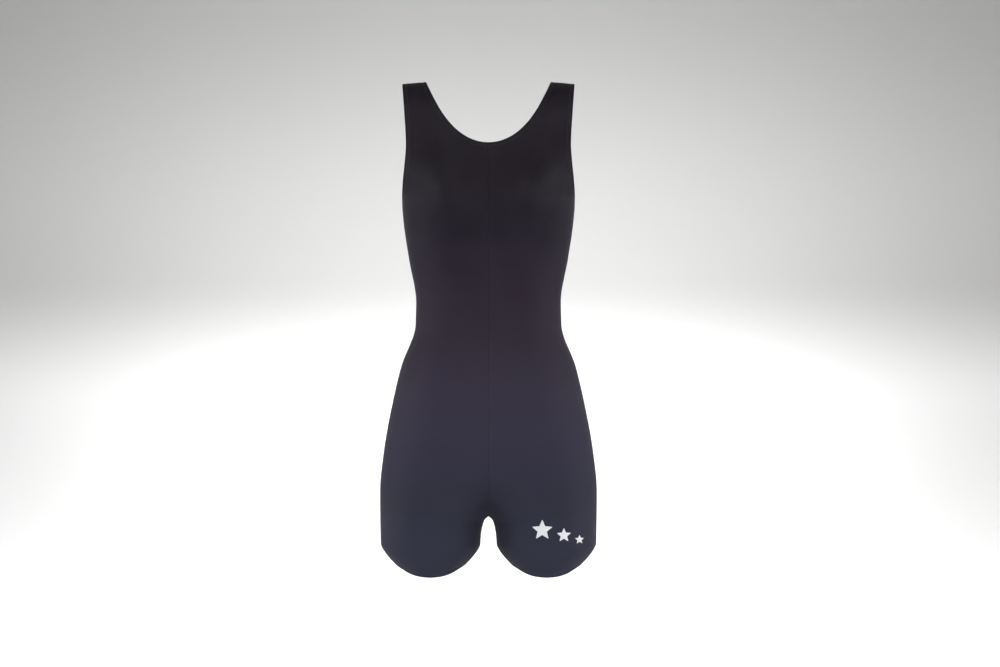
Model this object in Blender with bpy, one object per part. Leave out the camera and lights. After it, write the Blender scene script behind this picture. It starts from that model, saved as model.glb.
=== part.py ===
"""Sleeveless gymnastics unitard with short legs, as worn: four stretch panels sewn round the wearer's shape.

Metres, +Z up. The wearer faces -Y, so their left side is at +X. The origin lies midway between the two
shoulders, level with the undersides of the straps. Each panel is drawn on a flat pattern, across (arc length
from the centre or inner-leg seam) and up (height, with the strap unrolled over the shoulder), which
surface_point() wraps round the worn form. Bands along the pattern's edges carry elastics, seams and stitching.
"""

import math

import bmesh
import bpy
import numpy as np

# Heights above the strap seats.
STRAP_TOP = 0.0024
FRONT_NECK = -0.0905
BACK_NECK = -0.190
LINING_FOOT = -0.232
CROTCH = -0.6637
LEG_ROUNDING = -0.7075
HEM_FRONT = -0.7555

# The worn form: height, half width, depth in front of the side seams, depth behind them.
FORM = [
    (0.0024, 0.186, 0.058, 0.056),
    (-0.060, 0.180, 0.064, 0.070),
    (-0.100, 0.1730, 0.077, 0.082),
    (-0.122, 0.1655, 0.0855, 0.0865),
    (-0.140, 0.1548, 0.092, 0.089),
    (-0.156, 0.1431, 0.0972, 0.0897),
    (-0.166, 0.1366, 0.0991, 0.090),
    (-0.1735, 0.1330, 0.0997, 0.0898),
    (-0.186, 0.1326, 0.100, 0.089),
    (-0.215, 0.1301, 0.094, 0.086),
    (-0.268, 0.1222, 0.083, 0.079),
    (-0.335, 0.1112, 0.075, 0.071),
    (-0.368, 0.1120, 0.076, 0.072),
    (-0.434, 0.1343, 0.084, 0.089),
    (-0.490, 0.1476, 0.090, 0.108),
    (-0.564, 0.1609, 0.093, 0.121),
    (-0.625, 0.1667, 0.091, 0.112),
    (-0.7075, 0.1655, 0.081, 0.083),
    (-0.7555, 0.1610, 0.070, 0.071),
]
SECTION_POWER = 2.25
BUST_HEIGHT, BUST_ACROSS, BUST_RISE = -0.160, 0.070, 0.015
BUST_WIDTH, BUST_ABOVE, BUST_BELOW = 0.040, 0.052, 0.036
FRONT_SPLIT, BACK_SPLIT = -0.590, -0.545
LEG_GAP, LEG_ARCH = 0.0122, 0.0438
HEM_HALF_WIDTH, HEM_RISE, HEM_SOFTENING = 0.046, 0.0165, 0.004
SHOULDER_ROUND, SHOULDER_SLOPE = 0.056, 0.085

# Neckline, armhole and strap.
STRAP_INNER, STRAP_OUTER = 0.0955, 0.1325
NECK_SQUARENESS = 0.23
BACK_NECK_POWER = 2.5
ARMHOLE = [
    (0.0024, 0.1325),
    (-0.043, 0.1292),
    (-0.094, 0.1266),
    (-0.122, 0.1286),
    (-0.150, 0.1316),
    (-0.176, 0.1335),
]

# Cloth, trim and the clearance that keeps each piece a solid of its own.
CLOTH = 0.0008
CLEARANCE = 0.0003
STITCH_START, BAND = 0.0058, 0.0076
ELASTIC = 0.0006
SEAM = 0.0008
STITCH = 0.0004
LINING = 0.0006
LINING_DEPTH = CLOTH + SEAM + 2 * CLEARANCE
TAPE_LENGTH, TAPE_WIDTH, TAPE_THICK = 0.018, 0.005, 0.0005
LABEL_WIDTH, LABEL_DROP, LABEL_THICK = 0.030, 0.024, 0.0004
LABEL_DEPTH, LABEL_LOWERING = 0.0042, 0.001
TACK_HEIGHT, TACK_DEEP, TACK_BEHIND_HINGE = 0.0012, 0.0006, 0.0005

# Thigh motif: across, height and radius of each star.
STARS = {
    "large": (0.082, -0.682, 0.0165),
    "medium": (0.115, -0.690, 0.0115),
    "small": (0.139, -0.697, 0.0075),
}
STAR_POINTS, STAR_WAIST = 5, 0.45
PRINT, OUTLINE_REACH = 0.0003, 0.2

# Pattern grid: rows in the leg, from crotch to corner and from corner to shoulder; columns between bands.
LEG_ROWS, BODY_ROWS, YOKE_ROWS, COLUMNS = 4, 18, 9, 7
ROW_CROWDING, ARMHOLE_CROWDING = 1.3, 1.35
COLUMNS_EVEN = -0.47
SAMPLES = 161
INSETS = np.array([0, STITCH_START, BAND])
MIDDLE = np.linspace(0, 1, COLUMNS + 1)[1:-1]
FRACTIONS = np.concatenate([[0, 0, 0], MIDDLE, [1, 1, 1]])
OFFSETS = np.concatenate([INSETS, BAND * (1 - 2 * MIDDLE), -INSETS[::-1]])
CROTCH_ROW = len(INSETS) + LEG_ROWS - 1
CORNER_ROW = CROTCH_ROW + BODY_ROWS
ALL = slice(None)
HEM_ROWS, SEAM_ROWS = len(INSETS) - 1, slice(CROTCH_ROW + 1, CORNER_ROW)


def curve_through(points):
    """A smooth curve through (height, value) points that never overshoots between two of them."""
    x, y = np.array(sorted(points), float).T
    step, slope = np.diff(x), np.diff(y) / np.diff(x)
    tangent = np.concatenate([slope[:1], np.zeros(len(x) - 2), slope[-1:]])
    same = slope[:-1] * slope[1:] > 0
    weight = (2 * step[1:] + step[:-1], step[1:] + 2 * step[:-1])
    with np.errstate(divide="ignore", invalid="ignore"):
        mean = (weight[0] + weight[1]) / (weight[0] / slope[:-1] + weight[1] / slope[1:])
    tangent[1:-1] = np.where(same, mean, 0)

    def at(value):
        value = np.clip(value, x[0], x[-1])
        k = np.clip(np.searchsorted(x, value) - 1, 0, len(step) - 1)
        t = (value - x[k]) / step[k]
        start = y[k] * (1 + 2 * t) * (1 - t) ** 2 + tangent[k] * step[k] * t * (1 - t) ** 2
        end = y[k + 1] * t * t * (3 - 2 * t) + tangent[k + 1] * step[k] * t * t * (t - 1)
        return start + end

    return at


half_width = curve_through([(row[0], row[1]) for row in FORM])
front_depth = curve_through([(row[0], row[2]) for row in FORM])
back_depth = curve_through([(row[0], row[3]) for row in FORM])
armhole_across = curve_through(ARMHOLE)

LEG_HALF = (half_width(LEG_ROUNDING) - LEG_GAP) / 2
LEG_CENTRE = (half_width(LEG_ROUNDING) + LEG_GAP) / 2
LEG_DROP = LEG_ROUNDING - HEM_FRONT
LEG_END_RADIUS = (LEG_HALF**2 + LEG_DROP**2) / (2 * LEG_DROP)
HEM_SIDE = HEM_FRONT + LEG_END_RADIUS - math.sqrt(LEG_END_RADIUS**2 - HEM_HALF_WIDTH**2)
SHOULDER_START = STRAP_TOP - SHOULDER_ROUND
SHOULDER_LINE = SHOULDER_START + SHOULDER_ROUND * math.pi / 2
STRAP_MIDDLE = (STRAP_INNER + STRAP_OUTER) / 2


def leg_half_width(level):
    """Half the leg's width where it rounds in towards its hem."""
    above = HEM_SOFTENING * np.log1p(np.exp(np.clip((level - HEM_SIDE) / HEM_SOFTENING, -30, 30)))
    rest = LEG_END_RADIUS - (HEM_SIDE + above - HEM_FRONT)
    return np.sqrt(np.maximum(LEG_END_RADIUS**2 - rest**2, 0))


def outer_side(level):
    """How far out the side seam lies."""
    round_end = LEG_CENTRE + np.minimum(leg_half_width(level), LEG_HALF)
    return np.where(level < LEG_ROUNDING, round_end, half_width(level))


def inner_side(level):
    """How far out the inner-leg seam lies: 0 above the crotch, where the panel ends at the centre."""
    fall = np.clip((CROTCH - level) / LEG_ARCH, 0, 1)
    arch = LEG_GAP * np.sqrt(1 - (1 - fall) ** 2)
    round_end = LEG_CENTRE - np.minimum(leg_half_width(level), LEG_HALF)
    return np.where(level < LEG_ROUNDING, round_end, arch)


def cloth_depth(side, across, level):
    """How far the cloth stands in front of the side seams (side -1) or behind them (side 1)."""
    deep = front_depth(level) if side < 0 else back_depth(level)
    out, inner = outer_side(level), inner_side(level)
    rounding = np.clip((STRAP_TOP - level) / SHOULDER_ROUND, 0, 1)
    torso = deep * np.sqrt(np.clip(1 - (across / out) ** SECTION_POWER, 0, 1))
    if side < 0:
        spread = np.where(level > BUST_HEIGHT, BUST_ABOVE, BUST_BELOW)
        bust = np.exp(-(((level - BUST_HEIGHT) / spread) ** 2) - ((across - BUST_ACROSS) / BUST_WIDTH) ** 2)
        torso = torso + BUST_RISE * bust * np.clip(torso / deep, 0, 1)
    from_middle = np.abs(2 * across - out - inner) / np.maximum(out - inner, 1e-9)
    leg = deep * np.sqrt(np.clip(1 - from_middle**SECTION_POWER, 0, 1))
    top = FRONT_SPLIT if side < 0 else BACK_SPLIT
    split = np.clip((top - level) / (top - CROTCH), 0, 1) ** 2
    return np.sqrt((1 - split) * torso**2 + split * leg**2) * np.sqrt(1 - (1 - rounding) ** 2)


def level_at(up):
    """The height on the form of a height on the pattern, which runs on over the round of the shoulder."""
    over = np.clip((up - SHOULDER_START) / SHOULDER_ROUND, 0, math.pi / 2)
    return np.where(up < SHOULDER_START, up, SHOULDER_START + SHOULDER_ROUND * np.sin(over))


def up_at(level):
    """The opposite of level_at."""
    over = np.arcsin(np.clip((level - SHOULDER_START) / SHOULDER_ROUND, 0, 1))
    return np.where(level < SHOULDER_START, level, SHOULDER_START + SHOULDER_ROUND * over)


def form_point(side, across, level):
    """A point of the form; the shoulder line slopes down a little, away from the neck."""
    near = np.clip((level - SHOULDER_START) / SHOULDER_ROUND, 0, 1)
    height = level - SHOULDER_SLOPE * (across - STRAP_MIDDLE) * near * near * (3 - 2 * near)
    return np.stack([across, side * cloth_depth(side, across, level), height], -1)


def section(side, level):
    """Points round the form at each level, from the inner edge to the side seam, and their arc lengths."""
    level = np.atleast_1d(level)[:, None]
    turn = (1 - np.cos(np.pi * np.linspace(0, 1, SAMPLES)))[None, :] / 2
    across = inner_side(level) + (outer_side(level) - inner_side(level)) * turn
    points = form_point(side, across, level + 0 * across)
    length = np.linalg.norm(np.diff(points, axis=1), axis=2).cumsum(axis=1)
    return across, np.concatenate([np.zeros_like(level), length], axis=1)


def girth(side, level):
    """Arc length from the inner edge to the side seam."""
    return section(side, level)[1][:, -1]


def arc_to(side, across, level):
    """Arc length from the inner edge to a place across."""
    places, lengths = section(side, level)
    return np.array([np.interp(a, p, s) for a, p, s in zip(np.atleast_1d(across), places, lengths)])


def surface_point(side, arc, up):
    """The point of the worn cloth at a place on the flat pattern."""
    arc, up = np.broadcast_arrays(np.asarray(arc, float), np.asarray(up, float))
    level = level_at(up).ravel()
    places, lengths = section(side, level)
    across = np.array([np.interp(a, s, p) for a, p, s in zip(arc.ravel(), places, lengths)])
    return form_point(side, across, level).reshape(*arc.shape, 3)


def resampled(line, count, crowding=1):
    """count + 1 points along a line, evenly spaced or crowded towards its start."""
    along = np.concatenate([[0], np.linalg.norm(np.diff(line, axis=0), axis=1).cumsum()])
    at = along[-1] * np.linspace(0, 1, count + 1) ** crowding
    return np.stack([np.interp(at, along, line[:, k]) for k in range(2)], -1)


def neckline(side):
    """The neck edge on the pattern, from the centre to the shoulder."""
    across = STRAP_INNER * np.sin(np.linspace(0, math.pi / 2, SAMPLES))
    share = across / STRAP_INNER
    if side < 0:
        rise = (1 - NECK_SQUARENESS) * share**2 + NECK_SQUARENESS * share**4
        level = FRONT_NECK + (STRAP_TOP - FRONT_NECK) * rise
    else:
        level = BACK_NECK + (STRAP_TOP - BACK_NECK) * share**BACK_NECK_POWER
    return np.stack([arc_to(side, across, level), up_at(level)], -1)


def underarm_level():
    """Where the armhole meets the side seam."""
    (high, _), (low, _) = ARMHOLE[-2:]
    while high - low > 1e-7:
        middle = (low + high) / 2
        if half_width(middle) < armhole_across(middle):
            low = middle
        else:
            high = middle
    return high


UNDERARM = underarm_level()


def armhole(side):
    """The armhole edge on the pattern, from the side seam to the shoulder."""
    share = np.linspace(0, 1, SAMPLES)
    up = UNDERARM + (SHOULDER_LINE - UNDERARM) * share**2
    level = level_at(up)
    arc = arc_to(side, armhole_across(level), level)
    arc[0] = girth(side, UNDERARM)[0]
    return np.stack([arc, up], -1)


def moved_in(line, turn, distance):
    """A pattern line moved sideways into the cloth; turn is 1 to its left and -1 to its right."""
    ahead = np.gradient(line, axis=0)
    ahead /= np.linalg.norm(ahead, axis=1)[:, None]
    return line + turn * distance * np.stack([-ahead[:, 1], ahead[:, 0]], -1)


def edge_lines(side, inset):
    """The inner and side edges of the pattern above the crotch, moved in by inset, as (body, yoke) lines."""
    body = np.linspace(0, 1, BODY_ROWS + 1) ** ROW_CROWDING
    neck, arm = neckline(side), armhole(side)
    neck_corner, arm_corner = neck[0] + [inset, -inset], arm[0] - inset
    if inset:
        neck = np.vstack([neck_corner, moved_in(neck, -1, inset)[2:]])
        arm = np.vstack([arm_corner, moved_in(arm, 1, inset)[2:]])
        neck[-1] = neckline(side)[-1] + [inset, 0]
        arm[-1] = armhole(side)[-1] - [inset, 0]
    inner = np.stack([0 * body + inset, CROTCH + (neck_corner[1] - CROTCH) * body], -1)
    outer_up = CROTCH + (arm_corner[1] - CROTCH) * body
    outer = np.stack([girth(side, outer_up) - inset, outer_up], -1)
    return (inner, resampled(neck, YOKE_ROWS)), (outer, resampled(arm, YOKE_ROWS, ARMHOLE_CROWDING))


def leg_row(side, above_hem, share_to_crotch):
    """A row of the leg: above the hem by a distance, then by a share of what is left below the crotch."""
    nominal = girth(side, HEM_SIDE)[0]
    turn = (nominal * FRACTIONS + OFFSETS) / nominal
    up = HEM_FRONT + HEM_RISE * np.cos(np.pi * turn) ** 2 + above_hem
    up = up + (CROTCH - up) * share_to_crotch
    return np.stack([girth(side, up) * FRACTIONS + OFFSETS, up], -1)


def pattern(side):
    """The pattern as a grid of (arc, up): rows from hem to shoulder, columns from inner edge to side."""
    rows = [leg_row(side, inset, 0) for inset in INSETS]
    rows += [leg_row(side, BAND, row / LEG_ROWS) for row in range(1, LEG_ROWS)]
    edges = [edge_lines(side, inset) for inset in INSETS]
    for zone in (0, 1):
        inner = np.array([line[0][zone] for line in edges])[:, zone:]
        outer = np.array([line[1][zone] for line in edges])[:, zone:]
        for row in range(inner.shape[1]):
            between = inner[-1, row] + (outer[-1, row] - inner[-1, row]) * MIDDLE[:, None]
            level = level_at(between[:, 1])
            leg_like = arc_to(side, half_width(level) * (1 - np.cos(np.pi * MIDDLE)) / 2, level)
            share = np.clip((COLUMNS_EVEN - between[:, 1]) / (COLUMNS_EVEN - CROTCH), 0, 1)
            between[:, 0] += (leg_like - between[:, 0]) * share
            rows.append(np.vstack([inner[:, row], between, outer[::-1, row]]))
    return np.array(rows)


def grid_normals(points):
    """Unit normals of a grid of points, pointing out of the garment."""
    along_rows = np.gradient(points, axis=1)
    up_columns = np.gradient(points, axis=0)
    normal = np.cross(along_rows, up_columns)
    return normal / np.linalg.norm(normal, axis=2)[..., None]


class Panel:
    """A quarter of the garment: a grid of points on the form and of normals, shared along its seams."""

    def __init__(self, side, hand):
        flat = pattern(side)
        self.points = surface_point(side, flat[..., 0], flat[..., 1]) * [hand, 1, 1]
        self.normals = grid_normals(self.points) * (-side * hand)

    def part(self, rows, columns):
        """Part of the grid, as (points, normals)."""
        return self.points[rows][:, columns], self.normals[rows][:, columns]

    def yoke(self, columns):
        """The band along the neck or the armhole, with the wedge that reaches on to the seam below it."""
        edge = 0 if columns[0] >= 0 else -1
        corner, below = self.points[CORNER_ROW, edge], self.points[CORNER_ROW - 1, edge]
        share = (INSETS[[abs(c - edge) for c in columns]] / np.linalg.norm(below - corner))[:, None]
        normal, normal_below = self.normals[CORNER_ROW, edge], self.normals[CORNER_ROW - 1, edge]
        points, normals = self.part(slice(CORNER_ROW, None), columns)
        wedge = corner + (below - corner) * share
        wedge_normals = normal + (normal_below - normal) * share
        return np.vstack([wedge[None], points]), np.vstack([wedge_normals[None], normals])


def sew(front, back):
    """The back panel takes the front panel's points along the shoulder, the side and the inner leg."""
    for rows, columns in ((-1, ALL), (slice(CORNER_ROW + 1), -1), (slice(CROTCH_ROW + 1), 0)):
        back.points[rows, columns] = front.points[rows, columns]


def share_normals(panels):
    """Panels that meet take the mean of their normals there, so that each layer runs on across the seam."""
    sums = {}
    for panel in panels:
        for point, normal in zip(panel.points.reshape(-1, 3), panel.normals.reshape(-1, 3)):
            sums[tuple(point)] = sums.get(tuple(point), 0) + normal
    for panel in panels:
        for index in np.ndindex(panel.points.shape[:2]):
            total = sums[tuple(panel.points[index])]
            panel.normals[index] = total / np.linalg.norm(total)


def clear_scene():
    for item in list(bpy.data.objects):
        bpy.data.objects.remove(item)


def material(name, colour, roughness):
    """A plain cloth or plastic finish."""
    made = bpy.data.materials.get(name)
    if made is None:
        made = bpy.data.materials.new(name)
        made.use_nodes = True
        shader = made.node_tree.nodes["Principled BSDF"]
        shader.inputs["Base Color"].default_value = (*colour, 1)
        shader.inputs["Roughness"].default_value = roughness
    return made


def add_object(name, points, faces, finish, origin=(0, 0, 0)):
    """A closed mesh as one named object, its faces turned outwards, its points measured from its origin."""
    mesh = bpy.data.meshes.new(name)
    mesh.from_pydata([tuple(p) for p in np.asarray(points) - origin], [], faces)
    shape = bmesh.new()
    shape.from_mesh(mesh)
    bmesh.ops.remove_doubles(shape, verts=shape.verts, dist=1e-6)
    bmesh.ops.recalc_face_normals(shape, faces=shape.faces)
    bmesh.ops.triangulate(shape, faces=[face for face in shape.faces if len(face.verts) > 4])
    shape.to_mesh(mesh)
    shape.free()
    mesh.shade_smooth()
    mesh.set_sharp_from_angle(angle=math.radians(50))
    made = bpy.data.objects.new(name, mesh)
    made.location = origin
    bpy.context.scene.collection.objects.link(made)
    mesh.materials.append(material(*finish))
    return made


def split_quad(a, b, c, d):
    """Two triangles, always across the same corners, so that stacked layers stay parallel."""
    return [(a, b, c), (a, c, d)]


def add_sheet(name, patches, near, far, finish):
    """A sheet of cloth over patches of grid, (points, normals), from near to far inside the outer surface."""
    points, faces, lookup = [], [], {}
    rims = {}

    def vertex(point, normal, depth):
        key = (*point, depth)
        if key not in lookup:
            lookup[key] = len(points)
            points.append(point - normal * depth)
        return lookup[key]

    for grid, normals in patches:
        for r in range(grid.shape[0] - 1):
            for c in range(grid.shape[1] - 1):
                ring = [(r, c), (r, c + 1), (r + 1, c + 1), (r + 1, c)]
                for depth in (near, far):
                    faces += split_quad(*[vertex(grid[i], normals[i], depth) for i in ring])
                for k in range(4):
                    ends = [ring[k], ring[(k + 1) % 4]]
                    pair = [tuple(vertex(grid[i], normals[i], depth) for depth in (near, far)) for i in ends]
                    if pair[0] != pair[1]:
                        rims.setdefault(frozenset(pair), []).append(pair)
    for pairs in rims.values():
        if len(pairs) == 1:
            (near_a, far_a), (near_b, far_b) = pairs[0]
            faces += split_quad(near_a, near_b, far_b, far_a)
    return add_object(name, points, [face for face in faces if len(set(face)) == len(face)], finish)


def add_slab(name, corners, along, finish, origin=(0, 0, 0)):
    """A flat slab: four corners of one end, carried along."""
    points = [*corners, *[corner + along for corner in corners]]
    sides = [(k, (k + 1) % 4, (k + 1) % 4 + 4, k + 4) for k in range(4)]
    return add_object(name, points, [(0, 1, 2, 3), (7, 6, 5, 4), *sides], finish, origin)


BLACK_KNIT = ("black_knit", (0.018, 0.017, 0.022), 0.62)
BLACK_LINING = ("black_lining", (0.022, 0.022, 0.026), 0.75)
ELASTIC_FINISH = ("elastic", (0.03, 0.03, 0.033), 0.7)
THREAD = ("thread", (0.02, 0.02, 0.025), 0.5)
CLEAR_TAPE = ("clear_tape", (0.55, 0.56, 0.58), 0.35)
LABEL_SATIN = ("label_satin", (0.75, 0.75, 0.74), 0.4)
WHITE_PRINT = ("white_print", (0.85, 0.85, 0.85), 0.45)

HANDS = {"left": 1, "right": -1}


def build_panel(name, panel):
    """One body panel, its sewn edges drawn back by half the clearance."""
    points = panel.points.copy()
    for edge, inner in ((0, 1), (-1, -2)):
        inward = panel.points[:, inner] - panel.points[:, edge]
        points[:, edge] += inward / np.linalg.norm(inward, axis=1)[:, None] * CLEARANCE / 2
    below = points[-2] - points[-1]
    points[-1] += below / np.linalg.norm(below, axis=1)[:, None] * CLEARANCE / 2
    add_sheet(name, [(points, panel.normals)], 0.0, CLOTH, BLACK_KNIT)


def build_openings(front, back):
    """The elastic inside each opening's edge, and the cover stitching round its outside."""
    under = CLOTH + CLEARANCE
    over = -CLEARANCE - STITCH
    everyone = [*front.values(), *back.values()]
    layers = (
        ("elastic", 0, under, under + ELASTIC, ELASTIC_FINISH),
        ("coverstitch", 1, over, -CLEARANCE, THREAD),
    )
    for layer, first, near, far, finish in layers:
        neck = [panel.yoke([first, first + 1]) for panel in everyone]
        add_sheet(f"neck_{layer}", neck, near, far, finish)
        for hand in HANDS:
            arm = [part[hand].yoke([-2 - first, -1 - first]) for part in (front, back)]
            add_sheet(f"armhole_{layer}_{hand}", arm, near, far, finish)
            hem = [part[hand].part(slice(first, first + 2), ALL) for part in (front, back)]
            add_sheet(f"leg_{layer}_{hand}", hem, near, far, finish)


def build_seams(front, back):
    """The overlocked allowances inside, each laid to one side of the line where two panels meet."""
    near = CLOTH + CLEARANCE
    leg_rows = slice(HEM_ROWS, CROTCH_ROW)
    side_rows = slice(HEM_ROWS, CORNER_ROW)
    lines = {
        "centre_front_seam": (front["left"], SEAM_ROWS, [0, 1]),
        "centre_back_seam": (back["left"], SEAM_ROWS, [0, 1]),
    }
    for hand in HANDS:
        lines[f"side_seam_{hand}"] = (back[hand], side_rows, [-2, -1])
        lines[f"inseam_{hand}"] = (back[hand], leg_rows, [0, 1])
    for name, (panel, rows, columns) in lines.items():
        add_sheet(name, [panel.part(rows, columns)], near, near + SEAM, THREAD)


def build_shoulder_tape(name, hand):
    """The flat tape that keeps the shoulder seam from stretching; the strap hangs from its underside."""
    slope = math.atan(SHOULDER_SLOPE)
    along = np.array([hand * math.cos(slope), 0, -math.sin(slope)])
    up = np.array([hand * math.sin(slope), 0, math.cos(slope)])
    across = np.array([0, TAPE_WIDTH / 2, 0])
    end = np.array([hand * STRAP_MIDDLE, 0, 0]) - along * TAPE_LENGTH / 2
    raised = end + up * TAPE_THICK
    corners = [end - across, end + across, raised + across, raised - across]
    add_slab(name, corners, along * TAPE_LENGTH, CLEAR_TAPE)


def build_linings(front, back):
    """The front lining with the elastic at its foot under the bust, and the crotch lining."""
    foot = int(np.argmin(np.abs(front["left"].points[:CORNER_ROW, 0, 2] - LINING_FOOT)))
    inner = LINING_DEPTH + LINING + CLEARANCE
    lining = [front[hand].part(slice(foot, -1), ALL) for hand in HANDS]
    add_sheet("front_lining", lining, LINING_DEPTH, LINING_DEPTH + LINING, BLACK_LINING)
    foot_row = [front[hand].part(slice(foot, foot + 2), ALL) for hand in HANDS]
    add_sheet("underbust_elastic", foot_row, inner, inner + ELASTIC, ELASTIC_FINISH)
    rows = slice(CROTCH_ROW - 1, CROTCH_ROW + 4)
    crotch = [part[hand].part(rows, slice(0, 4)) for part in (front, back) for hand in HANDS]
    add_sheet("crotch_lining", crotch, LINING_DEPTH, LINING_DEPTH + LINING, BLACK_LINING)


def build_label(back):
    """The label, hung inside the centre back and turning about its top edge, and the thread that holds it."""
    top, low = back["left"].points[CORNER_ROW, 0], back["left"].points[CORNER_ROW - 1, 0]
    hang = (low - top) / np.linalg.norm(low - top)
    inward = np.array([0, hang[2], -hang[1]])
    hinge = top + hang * LABEL_LOWERING + inward * LABEL_DEPTH
    across = np.array([LABEL_WIDTH / 2, 0, 0])
    start, thick = hang * CLEARANCE, inward * LABEL_THICK
    left, right = hinge - across + start, hinge + across + start
    corners = [left, right, right + thick, left + thick]
    add_slab("neck_label", corners, hang * LABEL_DROP, LABEL_SATIN, hinge)
    start, deep = inward * TACK_BEHIND_HINGE, inward * (TACK_BEHIND_HINGE + TACK_DEEP)
    corners = [hinge - across - start, hinge + across - start, hinge + across - deep, hinge - across - deep]
    add_slab("label_tack", corners, -hang * TACK_HEIGHT, THREAD)


def build_star(name, panel, across, height, radius):
    """A star of print on the thigh: a film that lies on the panel, cut to shape."""
    rows, columns = slice(1, CROTCH_ROW + 2), slice(2, -2)
    film = add_sheet(name, [panel.part(rows, columns)], -CLEARANCE - PRINT, -CLEARANCE, WHITE_PRINT)
    points = []
    for y in (-OUTLINE_REACH, 0.0):
        for k in range(2 * STAR_POINTS):
            reach = radius * (1 if k % 2 == 0 else STAR_WAIST)
            angle = math.pi * k / STAR_POINTS
            points.append((across + reach * math.sin(angle), y, height + reach * math.cos(angle)))
    ring = range(2 * STAR_POINTS)
    sides = [(k, (k + 1) % len(ring), (k + 1) % len(ring) + len(ring), k + len(ring)) for k in ring]
    caps = [tuple(ring), tuple(k + len(ring) for k in reversed(ring))]
    cutter = add_object(f"{name}_outline", points, [*caps, *sides], WHITE_PRINT)
    cutter.hide_render = True
    cutter.display_type = "WIRE"
    cut = film.modifiers.new("cut to shape", "BOOLEAN")
    cut.operation = "INTERSECT"
    cut.solver = "EXACT"
    cut.object = cutter


def main():
    clear_scene()
    front = {hand: Panel(-1, sign) for hand, sign in HANDS.items()}
    back = {hand: Panel(1, sign) for hand, sign in HANDS.items()}
    for hand in HANDS:
        sew(front[hand], back[hand])
    share_normals([*front.values(), *back.values()])
    for hand, sign in HANDS.items():
        build_panel(f"front_panel_{hand}", front[hand])
        build_panel(f"back_panel_{hand}", back[hand])
        build_shoulder_tape(f"shoulder_tape_{hand}", sign)
    build_openings(front, back)
    build_seams(front, back)
    build_linings(front, back)
    build_label(back)
    for size, place in STARS.items():
        build_star(f"thigh_star_{size}", front["left"], *place)


main()
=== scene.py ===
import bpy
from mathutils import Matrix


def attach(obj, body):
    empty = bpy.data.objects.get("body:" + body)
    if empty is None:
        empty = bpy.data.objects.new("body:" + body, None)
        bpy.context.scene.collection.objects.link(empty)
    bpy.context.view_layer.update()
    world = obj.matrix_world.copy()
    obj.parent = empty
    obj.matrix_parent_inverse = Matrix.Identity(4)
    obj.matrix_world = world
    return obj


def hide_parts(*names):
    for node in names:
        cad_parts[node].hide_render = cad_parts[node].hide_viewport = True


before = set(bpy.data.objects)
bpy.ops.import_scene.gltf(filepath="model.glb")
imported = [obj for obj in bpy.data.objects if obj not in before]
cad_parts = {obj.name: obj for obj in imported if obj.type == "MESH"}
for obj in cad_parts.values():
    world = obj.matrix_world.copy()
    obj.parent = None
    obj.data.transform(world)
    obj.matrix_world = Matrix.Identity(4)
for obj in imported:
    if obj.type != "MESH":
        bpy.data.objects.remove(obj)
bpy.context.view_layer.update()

# Looks of a sleeveless gymnastics unitard with short legs, shown as worn with nobody in it.
# Metres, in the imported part's own frame. The four panels are drawn again on the part's pattern with a much
# finer grid, which carries the turned hems, the seams, the linings and every stitch as further layers.

import copy
import math

import bmesh
import bpy
import numpy as np
from mathutils import Vector
from mathutils.bvhtree import BVHTree

# Heights above the strap seats.
STRAP_TOP = 0.0024
FRONT_NECK = -0.0905
BACK_NECK = -0.190
LINING_FOOT = -0.232
CROTCH = -0.6637
LEG_ROUNDING = -0.7075
HEM_FRONT = -0.7555

# The worn form: height, half width, depth in front of the side seams, depth behind them.
FORM = [
    (0.0024, 0.186, 0.058, 0.056),
    (-0.060, 0.180, 0.064, 0.070),
    (-0.100, 0.1730, 0.077, 0.082),
    (-0.122, 0.1655, 0.0855, 0.0865),
    (-0.140, 0.1548, 0.092, 0.089),
    (-0.156, 0.1431, 0.0972, 0.0897),
    (-0.166, 0.1366, 0.0991, 0.090),
    (-0.1735, 0.1330, 0.0997, 0.0898),
    (-0.186, 0.1326, 0.100, 0.089),
    (-0.215, 0.1301, 0.094, 0.086),
    (-0.268, 0.1222, 0.083, 0.079),
    (-0.335, 0.1112, 0.075, 0.071),
    (-0.368, 0.1120, 0.076, 0.072),
    (-0.434, 0.1343, 0.084, 0.089),
    (-0.490, 0.1476, 0.090, 0.108),
    (-0.564, 0.1609, 0.093, 0.121),
    (-0.625, 0.1667, 0.091, 0.112),
    (-0.7075, 0.1655, 0.081, 0.083),
    (-0.7555, 0.1610, 0.070, 0.071),
]
SECTION_POWER = 2.25
BUST_HEIGHT, BUST_ACROSS, BUST_RISE = -0.160, 0.070, 0.015
BUST_WIDTH, BUST_ABOVE, BUST_BELOW = 0.040, 0.052, 0.036
FRONT_SPLIT, BACK_SPLIT = -0.590, -0.545
LEG_GAP, LEG_ARCH = 0.0122, 0.0438
HEM_HALF_WIDTH, HEM_RISE, HEM_SOFTENING = 0.046, 0.0165, 0.004
SHOULDER_ROUND, SHOULDER_SLOPE = 0.056, 0.085

# Neckline, armhole and strap.
STRAP_INNER, STRAP_OUTER = 0.0955, 0.1325
NECK_SQUARENESS = 0.23
BACK_NECK_POWER = 2.5
ARMHOLE = [
    (0.0024, 0.1325),
    (-0.043, 0.1292),
    (-0.094, 0.1266),
    (-0.122, 0.1286),
    (-0.150, 0.1316),
    (-0.176, 0.1335),
]

# Cloth, trim and the clearance that keeps each piece a solid of its own.
CLOTH = 0.0008
CLEARANCE = 0.0003
SEAM = 0.0007
LABEL_WIDTH, LABEL_DROP = 0.030, 0.024
LABEL_DEPTH, LABEL_LOWERING = 0.0042, 0.001
TAPE_LENGTH, TAPE_WIDTH, TAPE_THICK = 0.018, 0.005, 0.0005

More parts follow.
